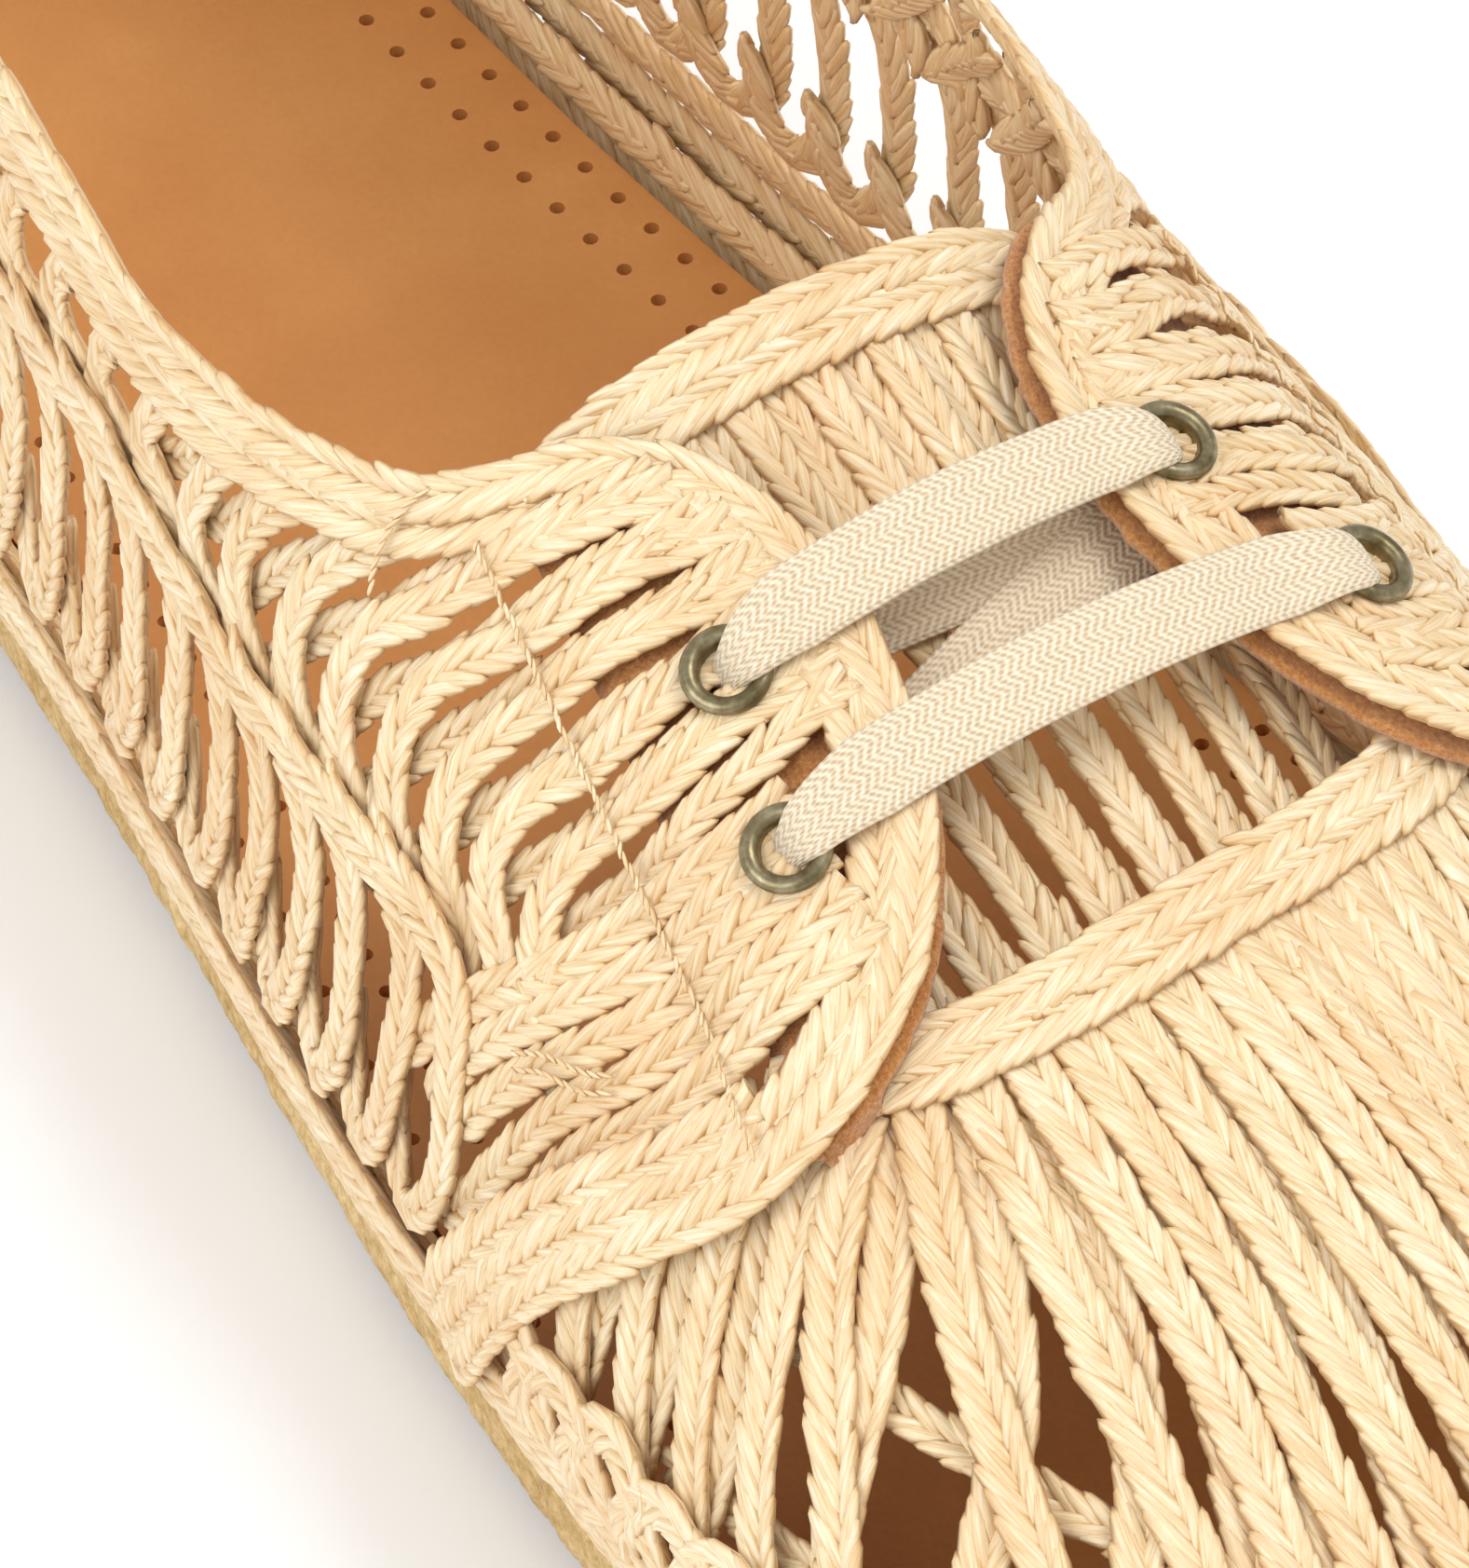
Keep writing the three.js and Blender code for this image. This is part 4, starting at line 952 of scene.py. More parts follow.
@dataclass
class Quarter:
    """One side of the upper behind the vamp: three crossing sets of plaits below the collar."""

    router: Router
    side: Side
    pitch: float = 7.35
    spine: float = 40.6
    first: float = 3.4
    last_round: float = 204.0
    waist: float = 147.0
    last_low: float = 187.0
    edge_reach: float = 196.0
    low: float = 17.6
    wide: float = 3.05
    slim: float = 2.75
    over: float = -0.55
    cross: float = 0.25
    mid: float = -1.5
    back: float = -2.5

    GAPS = (4.8, 9.6, 14.3, 18.8, 22.6)
    CLIMB = (
        # along, up
        (0.2, 6.6), (0.9, 12.2), (4.6, 17.4), (9.0, 23.4), (13.6, 29.2), (18.0, 34.6), (22.4, 40.2),
        (26.8, 45.6),
    )
    BEHIND = (
        # along, up, lift
        (4.4, 8.4, 0.0), (8.2, 13.2, 0.0), (12.0, 18.2, 0.7), (16.5, 24.0, 1.1), (21.0, 29.6, 1.4),
        (25.6, 35.2, 1.5), (30.0, 40.8, 1.5),
    )
    BESIDE_BAND = (
        # round, above, lift
        (203.5, 27.0, -0.8), (210.4, 37.0, -0.3), (220.0, 46.5, 0.0), (229.3, 57.0, 0.0),
        (236.0, 64.0, 0.0), (241.5, 71.0, 0.0),
    )

    def skin(self, knots: Sequence[tuple[float, float, float]], **look) -> Route:
        """Make a route through knots, turned over for the medial side."""
        turned = [(LAST.turned(self.side, round_mm), above, lift) for round_mm, above, lift in knots]
        return self.router.skin(turned, **look)

    def spine_at(self, round_mm: float) -> float:
        """Return the height of the line where the plaits cross."""
        return self.spine + 4.5 * float(smooth(150, 118, round_mm))

    def top_at(self, round_mm: float) -> float:
        """Return the height of the upper's top edge."""
        return LAST.top_above(LAST.turned(self.side, round_mm))

    def upper_plait(self, start: float, tone: float) -> Route:
        """Return a plait from the spine up to the collar or over the facing.

        Args:
            start: length round the outline where it stands upright.
            tone: its tone.
        """
        spine, over = self.spine_at(start), self.over
        knots = [
            (start + 8.4, spine - 5.0, self.back + 0.6),
            (start + 6.2, spine - 0.3, self.mid),
            (start + 3.4, spine + 2.2, over - 0.3),
        ]
        if start > self.waist:
            knots += [(start + du, spine + dw, over) for du, dw in self.CLIMB]
        else:
            room = self.top_at(start + 6) - 3.0 - spine
            rows = ((0.4, 0.42, 0.0), (1.0, 0.66, 0.0), (2.6, 0.85, 0.0), (4.6, 1.0, -0.4))
            knots += [(start + du, spine + share * room, over + lift) for du, share, lift in rows]
        return self.trim(self.skin(knots, on_tab=True, tone=tone, width=self.wide))

    def trim(self, route: Route) -> Route | None:
        """Cut a rising route where it meets the facing's edge plaits or the collar, and turn it downwards."""
        tab = tab_on(self.side)
        x, y = route.line[:, 0], route.line[:, 1] * self.side.value
        along = tab.along(x)
        beyond = y < tab.seam(x) - tab.wide(x) + 3.0
        turn = LAST.turned(self.side, np.linspace(0.12, 0.25, 60) * LAST.girth)
        collar = LAST.point(turn, LAST.top_climb(turn))
        edge = np.interp(x, collar[:, 0], np.abs(collar[:, 1]))
        behind = (x > 90) & (y < edge + 1.2)
        out = np.where(along > 0, beyond | (along > 0.97) & (y < tab.seam(x) + 2), behind)
        stop = int(np.argmax(out)) if out.any() else len(x)
        if stop < 12:
            return None
        route.line, route.out = route.line[:stop][::-1], route.out[:stop][::-1]
        return route

    def front_plait(self, gap: float, tone: float) -> Route:
        """Return a plait beside the front band, from the facing down to the sole.

        Args:
            gap: how far behind the band it runs.
            tone: its tone.
        """
        knots = [(197.0 - gap, 17.0, self.over - 1.2)] if gap < 10 else []
        knots += [(round_mm - gap, above, self.over + lift) for round_mm, above, lift in self.BESIDE_BAND]
        return self.trim(self.skin(knots, on_tab=True, tone=tone, width=self.wide))

    def back_plait(self, start: float, tone: float) -> Route:
        """Return a plait that crosses behind the gaps above the spine."""
        spine = self.spine_at(start)
        back = self.back + 0.5
        knots = [(start - 3.0, spine - 1.0, back - 0.4), (start + 1.0, spine + 3.4, back)]
        if start > self.waist:
            knots += [(start + du, spine + dw, back + lift) for du, dw, lift in self.BEHIND]
        else:
            room = self.top_at(start + 8) - 6.0 - spine
            knots += [(start + 4.4, spine + 0.55 * room, back), (start + 7.6, spine + 0.9 * room, back + 0.3)]
        return self.trim(self.skin(knots, on_tab=True, tone=tone, width=self.slim))

    def lower_plait(self, start: float, tone: float) -> Route:
        """Return a plait along the spine that turns down to the bottom V and hooks back."""
        spine = self.spine_at(start)
        over, mid, low = self.over, self.mid, self.low
        wide = 1.0 + 0.14 * float(smooth(160, 190, start))
        knots = [
            (start - 4.2, spine + 1.4, mid - 0.5),
            (start - 0.6, spine + 0.9, over - 0.1),
            (start + 3.6, spine + 0.6, self.cross),
            (start + 7.6, spine + 0.1, self.cross),
            (start + 12.0 * wide, spine - 2.0, over + 0.3),
            (start + 15.2 * wide, spine - 7.6, over),
            (start + 15.7 * wide, spine - 15.0, over),
            (start + 13.6 * wide, low + 1.0, over),
            (start + 10.8 * wide, low - 1.8, over - 0.3),
            (start + 9.0 * wide, low + 0.6, mid + 0.1),
            (start + 7.8 * wide, low + 4.4, mid - 0.2),
            (start + 7.2 * wide, low + 9.5, self.back + 0.6),
        ]
        return self.skin(knots, tone=tone, width=self.wide)

    def routes(self) -> list[Route]:
        """Return all plaits of the lattice."""
        tones = np.random.default_rng(SEED + self.side.value)
        made = []
        count = int((self.last_round - self.first) / self.pitch)
        for i in range(count):
            start = self.first + i * self.pitch
            made.append(self.upper_plait(start - 1.4, tones.uniform()))
            made.append(self.back_plait(start - 3.0, tones.uniform()))
            if start < self.last_low:
                made.append(self.lower_plait(start - 7.0, tones.uniform()))
        for gap in self.GAPS:
            made.append(self.front_plait(gap, tones.uniform()))
        placed = LAST.turned(self.side, np.linspace(0, self.edge_reach, 240))
        for climb, lift in EDGE_ROWS:
            look = {"tone": tones.uniform(), "width": 3.1}
            made.append(self.router.climbing(placed, 0 * placed + climb, lift, **look))
        return [route for route in made if route is not None]


@dataclass
class Bands:
    """The plaits along the collar, round the facings' edges, and down the quarters' front edges."""

    router: Router

    FRONT = ((0.3515, 49), (0.337, 39.5), (0.3225, 29), (0.308, 15), (0.291, -9))

    def collar(self, side: Side, inset: float, offset: float) -> Route:
        """Return a plait along the collar, round the facing's edge and down the band.

        Args:
            side: side of the shoe.
            inset: how far it lies inside the edge.
            offset: its place across the band, forwards.
        """
        placed = LAST.turned(side, np.linspace(0, 0.2495, 140) * LAST.girth)
        above = np.array([LAST.top_above(place) for place in placed]) - inset
        climbs = LAST.climb_at(placed, above)
        first = self.router.climbing(placed, climbs, 0.0)
        tab = tab_on(side)
        line = tab.outline(inset)
        keep = slice(int(9 + 3 * inset), len(line) - int(8 + 1.2 * inset))
        second = self.router.join(first, self.router.plan(line[keep], -0.8))
        return self.router.join(second, self.front(side, offset, 0.07), tone=0.55, width=3.3, bold=True)

    def front(self, side: Side, offset: float, start: float = 0.0) -> Route:
        """Return one plait of the band from the facing's front down to the feather edge.

        Args:
            side: side of the shoe.
            offset: its place across the band, forwards.
            start: share of the band at which it begins.
        """
        table = np.array(self.FRONT)
        share = np.linspace(start, 1, 90)
        knots = natural_spline(np.linspace(0, 1, len(table)), table)(share)
        placed = LAST.turned(side, knots[:, 0] * LAST.girth)
        line = LAST.point(placed, knots[:, 1])
        out = LAST.out(placed, knots[:, 1])
        run = unit(np.gradient(line, axis=0))
        across = unit(np.cross(out, run))
        across = across * np.sign(across[:, :1])
        lift = 2.8 + (1.1 - 2.8) * smooth(0, 0.4, share) - 1.2 * smooth(0.85, 1.0, share)
        line = line + out * lift[:, None] + across * offset
        return Route(*even_out(line, out, soften=0.8), width=3.1, tone=0.6, bold=True)

    def throat(self, inset: float) -> Route:
        """Return one plait of the double band at the vamp's throat."""
        rounds = np.linspace(0.345, 0.655, 200) * LAST.girth
        above = np.array([LAST.top_above(place) for place in rounds]) - inset
        route = self.router.climbing(rounds, LAST.climb_at(rounds, above), 0.0)
        line, out = even_out(route.line, route.out, soften=7.0)
        return Route(line, out, tone=0.6, width=3.2, bold=True)


@dataclass
class Vamp:
    """The front of the upper: pairs of plaits that fan from the throat and cross near the edge."""

    router: Router
    step: float = 2.06
    reach: float = 33.0
    settle_climb: float = 42.0
    scallop_start: float = 199.0
    scallop_pitch: float = 7.6

    FAN = ((0, 0), (9.3, 15), (15, 27), (22, 42), (26, 56), (33, 91))
    SCALLOP = (
        # along, above, lift
        (-1.2, 9.5, -1.2), (-2.9, 14.2, 0.1), (-1.4, 19.4, 0.6), (3.0, 21.6, 0.7), (6.6, 19.0, 0.5),
        (8.4, 14.0, -0.4), (9.6, 9.0, -1.4),
    )

    def throat_line(self) -> tuple[Grid, Grid]:
        """Return lengths round the outline and signed lengths along the throat from its middle."""
        rounds = np.linspace(0.352, 0.645, 400) * LAST.girth
        line = LAST.point(rounds, LAST.top_climb(rounds))
        far = length_along(line)
        centre = float(np.interp(0.5 * LAST.girth, rounds, far))
        return rounds, far - centre

    def foot(self, along: float) -> float:
        """Return where a plait that starts along the throat would meet the sole, round the outline."""
        table = np.array(self.FAN)
        offset = np.interp(abs(along), table[:, 0], table[:, 1])
        lean = 8.0 * max(0.0, 1 - abs(along) / 14)
        return 0.5 * LAST.girth + math.copysign(float(offset), along) + lean

    def plait(self, along: float, swing: float, over: bool, tone: float) -> Route:
        """Return one plait from the throat to the sole.

        Args:
            along: its start along the throat from the middle.
            swing: how far its foot moves to cross its neighbour.
            over: whether it lies over its neighbour.
            tone: its tone.
        """
        rounds, far = self.throat_line()
        start = float(np.interp(along, far, rounds))
        top = float(LAST.top_climb(start)) + 0.5
        foot = self.foot(along)
        climbs = np.linspace(top, -50, 150)
        outer = float(smooth(20, 33, abs(along)))
        settled = self.settle_climb - 22 * outer
        share = np.clip((climbs - settled) / (top - settled), 0, 1)
        placed = foot - (foot - start) * share ** (4.2 + 2.8 * max(0.0, 1 - abs(along) / 25) - 1.2 * outer)
        cross = smooth(69 - 17 * outer, 38 - 17 * outer, climbs)
        placed = placed + swing * cross
        base = -0.6 if over else -1.55
        lift = base + (0.0 if over else 0.5) * smooth(60, 74, climbs)
        lift = lift - 0.7 * smooth(top - 6, top, climbs)
        return self.router.climbing(placed, climbs, lift, tone=tone, width=3.5, bold=True)

    def fan(self) -> list[Route]:
        """Return the pairs of plaits that fan out from the throat."""
        tones = np.random.default_rng(SEED + 5)
        made = []
        count = int(self.reach / (2 * self.step))
        for pair in range(-count, count + 1):
            along = pair * 2 * self.step
            gap = abs(self.foot(along + self.step) - self.foot(along - self.step))
            made.append(self.plait(along, 0.62 * gap, True, tones.uniform()))
            made.append(self.plait(along + self.step, -0.5 * gap, False, tones.uniform()))
        return made

    def edge(self) -> list[Route]:
        """Return the side plaits behind the fan, the cross plaits and the rows at the sole."""
        tones = np.random.default_rng(SEED + 6)
        look = {"width": 3.1, "bold": True}
        made = []
        for side in Side:
            for j in range(8):
                start = 203.0 + 4.1 * j
                top = 20 + 34 * smooth(200, 230, start)
                climbs = np.linspace(float(top), -50, 70)
                placed = LAST.turned(side, start) + (3.2 if j % 2 else -3.2) * smooth(30, 0, climbs)
                lift = -0.6 if j % 2 else -1.6
                made.append(self.router.climbing(placed, climbs, lift, tone=tones.uniform(), **look))
        return made + self.cross_plaits(tones)

    def cross_plaits(self, tones: np.random.Generator) -> list[Route]:
        """Return the plaits that run round under the fan, and the edge plaits at the sole."""
        made = []
        turn = np.linspace(0.335, 0.665, 300)
        rounds = turn * LAST.girth
        arch = 1 - np.abs(turn - 0.5) / 0.165
        for low, high, lift in ((33, 16, -2.9), (20, 10, -2.7)):
            above = low + high * np.sqrt(np.clip(arch, 0, 1))
            made.append(self.router.climbing(rounds, LAST.climb_at(rounds, above), lift, tone=0.4, width=2.9))
        wide = np.linspace(0.298, 0.702, 360) * LAST.girth
        for climb, lift in EDGE_ROWS:
            made.append(self.router.climbing(wide, 0 * wide + climb, lift, tone=tones.uniform(), width=3.2))
        return made + self.scallops(tones)

    def scallops(self, tones: np.random.Generator) -> list[Route]:
        """Return the small loops along the vamp's lower edge."""
        made = []
        start = self.scallop_start
        while start < LAST.girth - self.scallop_start:
            knots = [(start + along, above, lift) for along, above, lift in self.SCALLOP]
            made.append(self.router.skin(knots, tone=tones.uniform(), width=3.2))
            start += self.scallop_pitch
        return made


@dataclass
class Tongue:
    """The tongue under the lacing: plaits that fan from the throat to a double plait at the top."""

    router: Router
    drop: float = 5.0
    top: float = 143.8
    foot: float = 211.0
    plaits: int = 15
    sway: float = 1.5

    def routes(self) -> list[Route]:
        """Return the tongue's plaits."""
        tones = np.random.default_rng(SEED + 9)
        made = []
        share = np.linspace(0, 1, 70)
        for order, (x0, lift) in enumerate(((self.top, -4.3), (self.top + 3.0, -4.4))):
            y = -21.5 + share * 49.0
            bow = 1.8 * (2 * share - 1) ** 2
            places = np.stack([x0 + bow * 0.3 + 0 * share, y], -1)
            look = {"tone": 0.5 + 0.1 * order, "width": 3.2, "bold": True}
            made.append(self.router.plan(places, lift, on_tab=False, **look))
        x = self.top + 2 + share * (self.foot - self.top - 2)
        bulge = np.sin(math.pi * np.clip(share * 1.5 - 0.25, 0, 1))
        for i in range(self.plaits):
            side = i / (self.plaits - 1)
            y0 = -20.0 + side * 45.0
            y1 = -14.5 + side * 35.0
            y = y0 + (y1 - y0) * share + (self.sway if i % 2 else -self.sway) * bulge
            lift = -self.drop if i % 2 else -self.drop - 0.6
            places = np.stack([x, y], -1)
            made.append(self.router.plan(places, lift, on_tab=False, tone=tones.uniform(), width=3.0))
        return made


@dataclass
class Backing:
    """The suede sheet under a facing, whose edge peeks out all round."""

    tab: Tab
    router: Router
    peek: float = 0.55
    thick: float = 0.8
    tucked: float = 2.2
    below: float = 2.1
    columns: int = 90
    rows: int = 22

    def make(self) -> bpy.types.Object:
        """Return the sheet, with a slightly ragged edge."""
        rough = np.random.default_rng(SEED + 21)
        turn = np.linspace(0.1, math.pi - 0.1, self.columns)
        along = 0.5 - 0.5 * np.cos(turn)
        x = (self.tab.back + (self.tab.front - self.tab.back) * along) * LAST.length
        ragged = self.peek + rough.normal(0, 0.14, self.columns)
        share = np.linspace(0, 1, self.rows)
        low = self.tab.seam(x) - self.tucked
        high = self.tab.seam(x) - self.tab.wide(x) - ragged
        y = self.tab.side.value * (low[:, None] + (high - low)[:, None] * share)
        ahead = self.peek * smooth(0.6, 1, along)[:, None] * smooth(0.1, 0.5, share)
        xs = x[:, None] + ahead
        base = LAST.over(xs, y)
        out = LAST.upright(xs, y)
        under = self.router.rise(xs, y) - self.below
        top = base + out * under[..., None]
        foot = base + out * (under - self.thick)[..., None]
        points = np.concatenate([top.reshape(-1, 3), foot.reshape(-1, 3)])
        faces = self.shell_faces()
        name = f"backing_sheet_{self.tab.side.word}"
        return mesh_piece(name, [points], [faces.ravel()], [np.full(len(faces), 4)])

    def shell_faces(self) -> Grid:
        """Return the quads that close the two grids of points into one sheet."""
        columns, rows = self.columns, self.rows
        half = columns * rows
        corners = []
        for i in range(columns - 1):
            for a in range(i * rows, i * rows + rows - 1):
                quad = [a, a + rows, a + rows + 1, a + 1]
                corners += [quad, [q + half for q in quad[::-1]]]
            for a, way in ((i * rows, 1), (i * rows + rows - 1, -1)):
                corners.append([a, a + half, a + rows + half, a + rows][::way])
        for j in range(rows - 1):
            for a, way in ((j, -1), (half - rows + j, 1)):
                corners.append([a, a + half, a + 1 + half, a + 1][::way])
        return np.array(corners)[:, :: -self.tab.side.value]


@dataclass(frozen=True)
class Seat:
    """Where an eyelet is set, in millimetres on the last."""

    name: str
    top: tuple[float, float, float]
    out: tuple[float, float, float]
    rise: float


def eyelet_seats(router: Router) -> list[Seat]:
    """Return the four seats: near rear, near front, far rear and far front."""
    table = (
        ("lateral_rear", 0.5903, -0.188),
        ("lateral_front", 0.638, -0.221),
        ("medial_rear", 0.5903, 0.2145),
        ("medial_front", 0.638, 0.2876),
    )
    seats = []
    for name, along, across in table:
        x = along * LAST.length - 1.2
        y = across * LAST.ball - math.copysign(1.5, across)
        out = LAST.upright(x, y)
        rise = float(router.rise(x, y))
        seats.append(Seat(name, tuple(LAST.over(x, y) + out * rise), tuple(out), rise))
    return seats


@dataclass
class Eyelet:
    """A rolled brass eyelet: one rim and barrel, modelled once and set in each seat."""

    sides: int = 36

    PROFILE = (
        # radius, height
        (2.0, -4.6), (2.0, 0.2), (2.05, 0.75), (2.25, 1.12), (2.62, 1.32), (3.0, 1.3),
        (3.32, 1.12), (3.46, 0.82), (3.44, 0.55), (3.25, 0.42), (2.4, 0.4), (2.35, 0.2), (2.35, -4.6),
    )

    def model(self) -> bpy.types.Mesh:
        """Return the eyelet's mesh about its own axis, in metres."""
        radius, height = self.PROFILE[0]
        bpy.ops.mesh.primitive_circle_add(vertices=self.sides, radius=radius * MM, location=(0, 0, 0))
        made = bpy.context.object
        bpy.ops.object.mode_set(mode="EDIT")
        bpy.ops.transform.translate(value=(0, 0, height * MM))
        for next_radius, next_height in (*self.PROFILE[1:], self.PROFILE[0]):
            climb = (0, 0, (next_height - height) * MM)
            bpy.ops.mesh.extrude_region_move(TRANSFORM_OT_translate={"value": climb})
            grow = next_radius / radius
            bpy.ops.transform.resize(value=(grow, grow, 1), center_override=(0, 0, 0))
            radius, height = next_radius, next_height
        bpy.ops.mesh.select_all(action="SELECT")
        bpy.ops.mesh.remove_doubles(threshold=0.02 * MM)
        bpy.ops.mesh.normals_make_consistent(inside=False)
        bpy.ops.object.mode_set(mode="OBJECT")
        mesh = made.data
        bpy.data.objects.remove(made)
        mesh.shade_smooth()
        return mesh

    def set_in(self, mesh: bpy.types.Mesh, seat: Seat) -> bpy.types.Object:
        """Return a copy of the eyelet, set in a seat."""
        copy = mesh.copy()
        turn = Vector((0, 0, 1)).rotation_difference(Vector(seat.out)).to_matrix().to_4x4()
        place = Vector([float(v) for v in to_frame(np.array(seat.top))])
        copy.transform(Matrix.Translation(place) @ turn)
        copy.name = f"eyelet_ring_{seat.name}"
        piece = bpy.data.objects.new(copy.name, copy)
        bpy.context.scene.collection.objects.link(piece)
        return piece


@dataclass
class Lace:
    """The flat tape: two bars over the tongue and the runs beneath, through the eyelets."""

    router: Router
    seats: list[Seat]
    wide: float = 6.8
    thick: float = 1.15
    sides: int = 16
    tilt: float = 0.42

    def bar(self, start: Seat, end: Seat, arch: float) -> tuple[Grid, Grid, Grid]:
        """Return the middle line, the widths and the thicknesses of a bar over the tongue."""
        a, b = np.array(start.top), np.array(end.top)
        up_a, up_b = np.array(start.out), np.array(end.out)
        across = unit(b - a)
        points = [a - up_a * (start.rise + 3.0), a + up_a * 0.3 + across * 0.5, a + up_a * 2.2 + across * 1.9]
        wides, thicks = [2.9, 3.3, 4.5], [2.1, 2.0, 1.5]
        for t in np.linspace(0.14, 0.86, 7):
            at = a + (b - a) * t
            at[2] += 1.9 + arch * (1 - (2 * t - 1) ** 2)
            points.append(at)
            wides.append(self.wide - 0.5 * abs(2 * t - 1))
            thicks.append(self.thick)
        points += [b + up_b * 2.2 - across * 1.9, b + up_b * 0.3 - across * 0.5, b - up_b * (end.rise + 3.0)]
        wides += [4.5, 3.3, 2.9]
        thicks += [1.5, 2.0, 2.1]
        return np.array(points), np.array(wides), np.array(thicks)

    def under(self, start: Seat, goal_x: float, goal_y: float) -> tuple[Grid, Grid, Grid]:
        """Return the same for a run between the tongue and the tabs."""
        a = np.array(start.top) - np.array(start.out) * (start.rise + 2.9)
        t = np.linspace(0, 1, 9)
        x, y = a[0] + (goal_x - a[0]) * t, a[1] + (goal_y - a[1]) * t
        line = LAST.over(x, y) - LAST.upright(x, y) * 2.9
        wides = 3.0 + (self.wide * 0.95 - 3.0) * smooth(0, 0.22, t)
        return line, wides, np.full(len(t), 0.9)

    def tape(self, stations: tuple[Grid, Grid, Grid], base: int) -> tuple[Grid, Grid, Grid, Grid]:
        """Sweep the tape's section along one run.

        Args:
            stations: its middle line, widths and thicknesses.
            base: index of its first point in the piece.

        Returns:
            Points, weave coordinates, corners and totals.
        """
        line, wides, thicks = stations
        chord = length_along(line)
        count = int(chord[-1] / 0.5)
        at = np.linspace(0, chord[-1], count)
        middle = natural_spline(chord, line)(at)
        wide = np.interp(at, chord, wides)
        thick = np.interp(at, chord, thicks)
        run = unit(np.gradient(middle, axis=0))
        aim = np.array([math.cos(self.tilt), 0.0, -math.sin(self.tilt)])
        flat = unit(aim - run * (run @ aim)[:, None])
        up = np.cross(run, flat)
        turn = np.linspace(0, 2 * math.pi, self.sides, endpoint=False)
        c, s = np.cos(turn), np.sin(turn)
        a = np.sign(c) * np.abs(c) ** 0.55
        b = np.sign(s) * np.abs(s) ** 0.8
        points = (
            middle[:, None, :]
            + flat[:, None, :] * (a[None, :, None] * wide[:, None, None] / 2)
            + up[:, None, :] * (b[None, :, None] * thick[:, None, None] / 2)
        )
        fibre = np.stack(
            [np.repeat(at[:, None], self.sides, 1), a[None, :] * self.wide / 2 + 0 * at[:, None]], -1
        )
        corners, totals = sweep_faces(count, self.sides)
        return points.reshape(-1, 3), fibre.reshape(-1, 2), corners + base, totals

    def make(self) -> bpy.types.Object:
        """Return the lace as one piece."""
        near_back, near_front, far_back, far_front = self.seats
        far_x, far_y = far_back.top[:2]
        runs = [
            self.bar(near_back, far_back, 2.6),
            self.bar(near_front, far_front, 3.6),
            self.under(near_back, far_x + 2.0, far_y),
            self.under(near_front, far_x + 1.0, far_y + 0.5),
            self.under(far_front, far_x + 0.5, far_y + 1.0),
        ]
        places, fibres, corners, totals = [], [], [], []
        base = 0
        for stations in runs:
            points, fibre, faces, counts = self.tape(stations, base)
            places.append(points)
            fibres.append(fibre)
            corners.append(faces)
            totals.append(counts)
            base += len(points)
        return mesh_piece("lace_tape", places, corners, totals, fibres)


@dataclass
class Footbed:
    """The insole with its rows of drilled holes."""

    hole: float = 0.62
    depth: float = 1.6
    height: float = 3.9
    spacing: float = 4.05
    first_inset: float = 7.6
    row_gap: float = 4.3
    last_hole: float = 200.0

    def places(self) -> Grid:
        """Return the holes' places in plan: two rows along the edge, as far as the vamp."""
        places = []
        for row in range(2):
            inset = self.first_inset + row * self.row_gap
            walk = np.arange(0.5 * row * self.spacing, LAST.girth, self.spacing)
            places.append(LAST.edge(walk) + LAST.inward(walk) * inset)
        drilled = np.concatenate(places)
        return drilled[drilled[:, 0] < self.last_hole]

    def make(self) -> bpy.types.Object:
        """Return a copy of the footbed with the holes cut by one boolean."""
        piece = bpy.data.objects.new("footbed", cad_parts["insole"].data.copy())
        bpy.context.scene.collection.objects.link(piece)
        self.clean(piece)
        bpy.ops.mesh.primitive_cylinder_add(vertices=10, radius=self.hole * MM, depth=self.depth * 2 * MM)
        drill = bpy.context.object
        own = np.array([vertex.co[:] for vertex in drill.data.vertices])
        faces = [list(face.vertices) for face in drill.data.polygons]
        bpy.data.objects.remove(drill)
        points, corners, totals = [], [], []
        for order, (x, y) in enumerate(self.places()):
            points.append(own / MM + np.array([x, y, float(LAST.feather(x)) + self.height]))
            for face in faces:
                corners += [order * len(own) + v for v in face]
                totals.append(len(face))
        drills = mesh_piece("drills", points, [corners], [totals])
        cut = piece.modifiers.new("holes", "BOOLEAN")
        cut.object = drills
        cut.operation = "DIFFERENCE"
        cut.solver = "MANIFOLD"
        with bpy.context.temp_override(object=piece, active_object=piece, selected_objects=[piece]):
            bpy.ops.object.modifier_apply(modifier=cut.name)
        bpy.data.meshes.remove(drills.data)
        return piece

    @staticmethod
    def clean(piece: bpy.types.Object) -> None:
        """Merge a CAD mesh's loose triangles."""
        deselect()
        bpy.context.view_layer.objects.active = piece
        piece.select_set(True)
        bpy.ops.object.mode_set(mode="EDIT")
        bpy.ops.mesh.select_all(action="SELECT")
        bpy.ops.mesh.remove_doubles(threshold=0.00001)
        bpy.ops.object.mode_set(mode="OBJECT")
        piece.select_set(False)


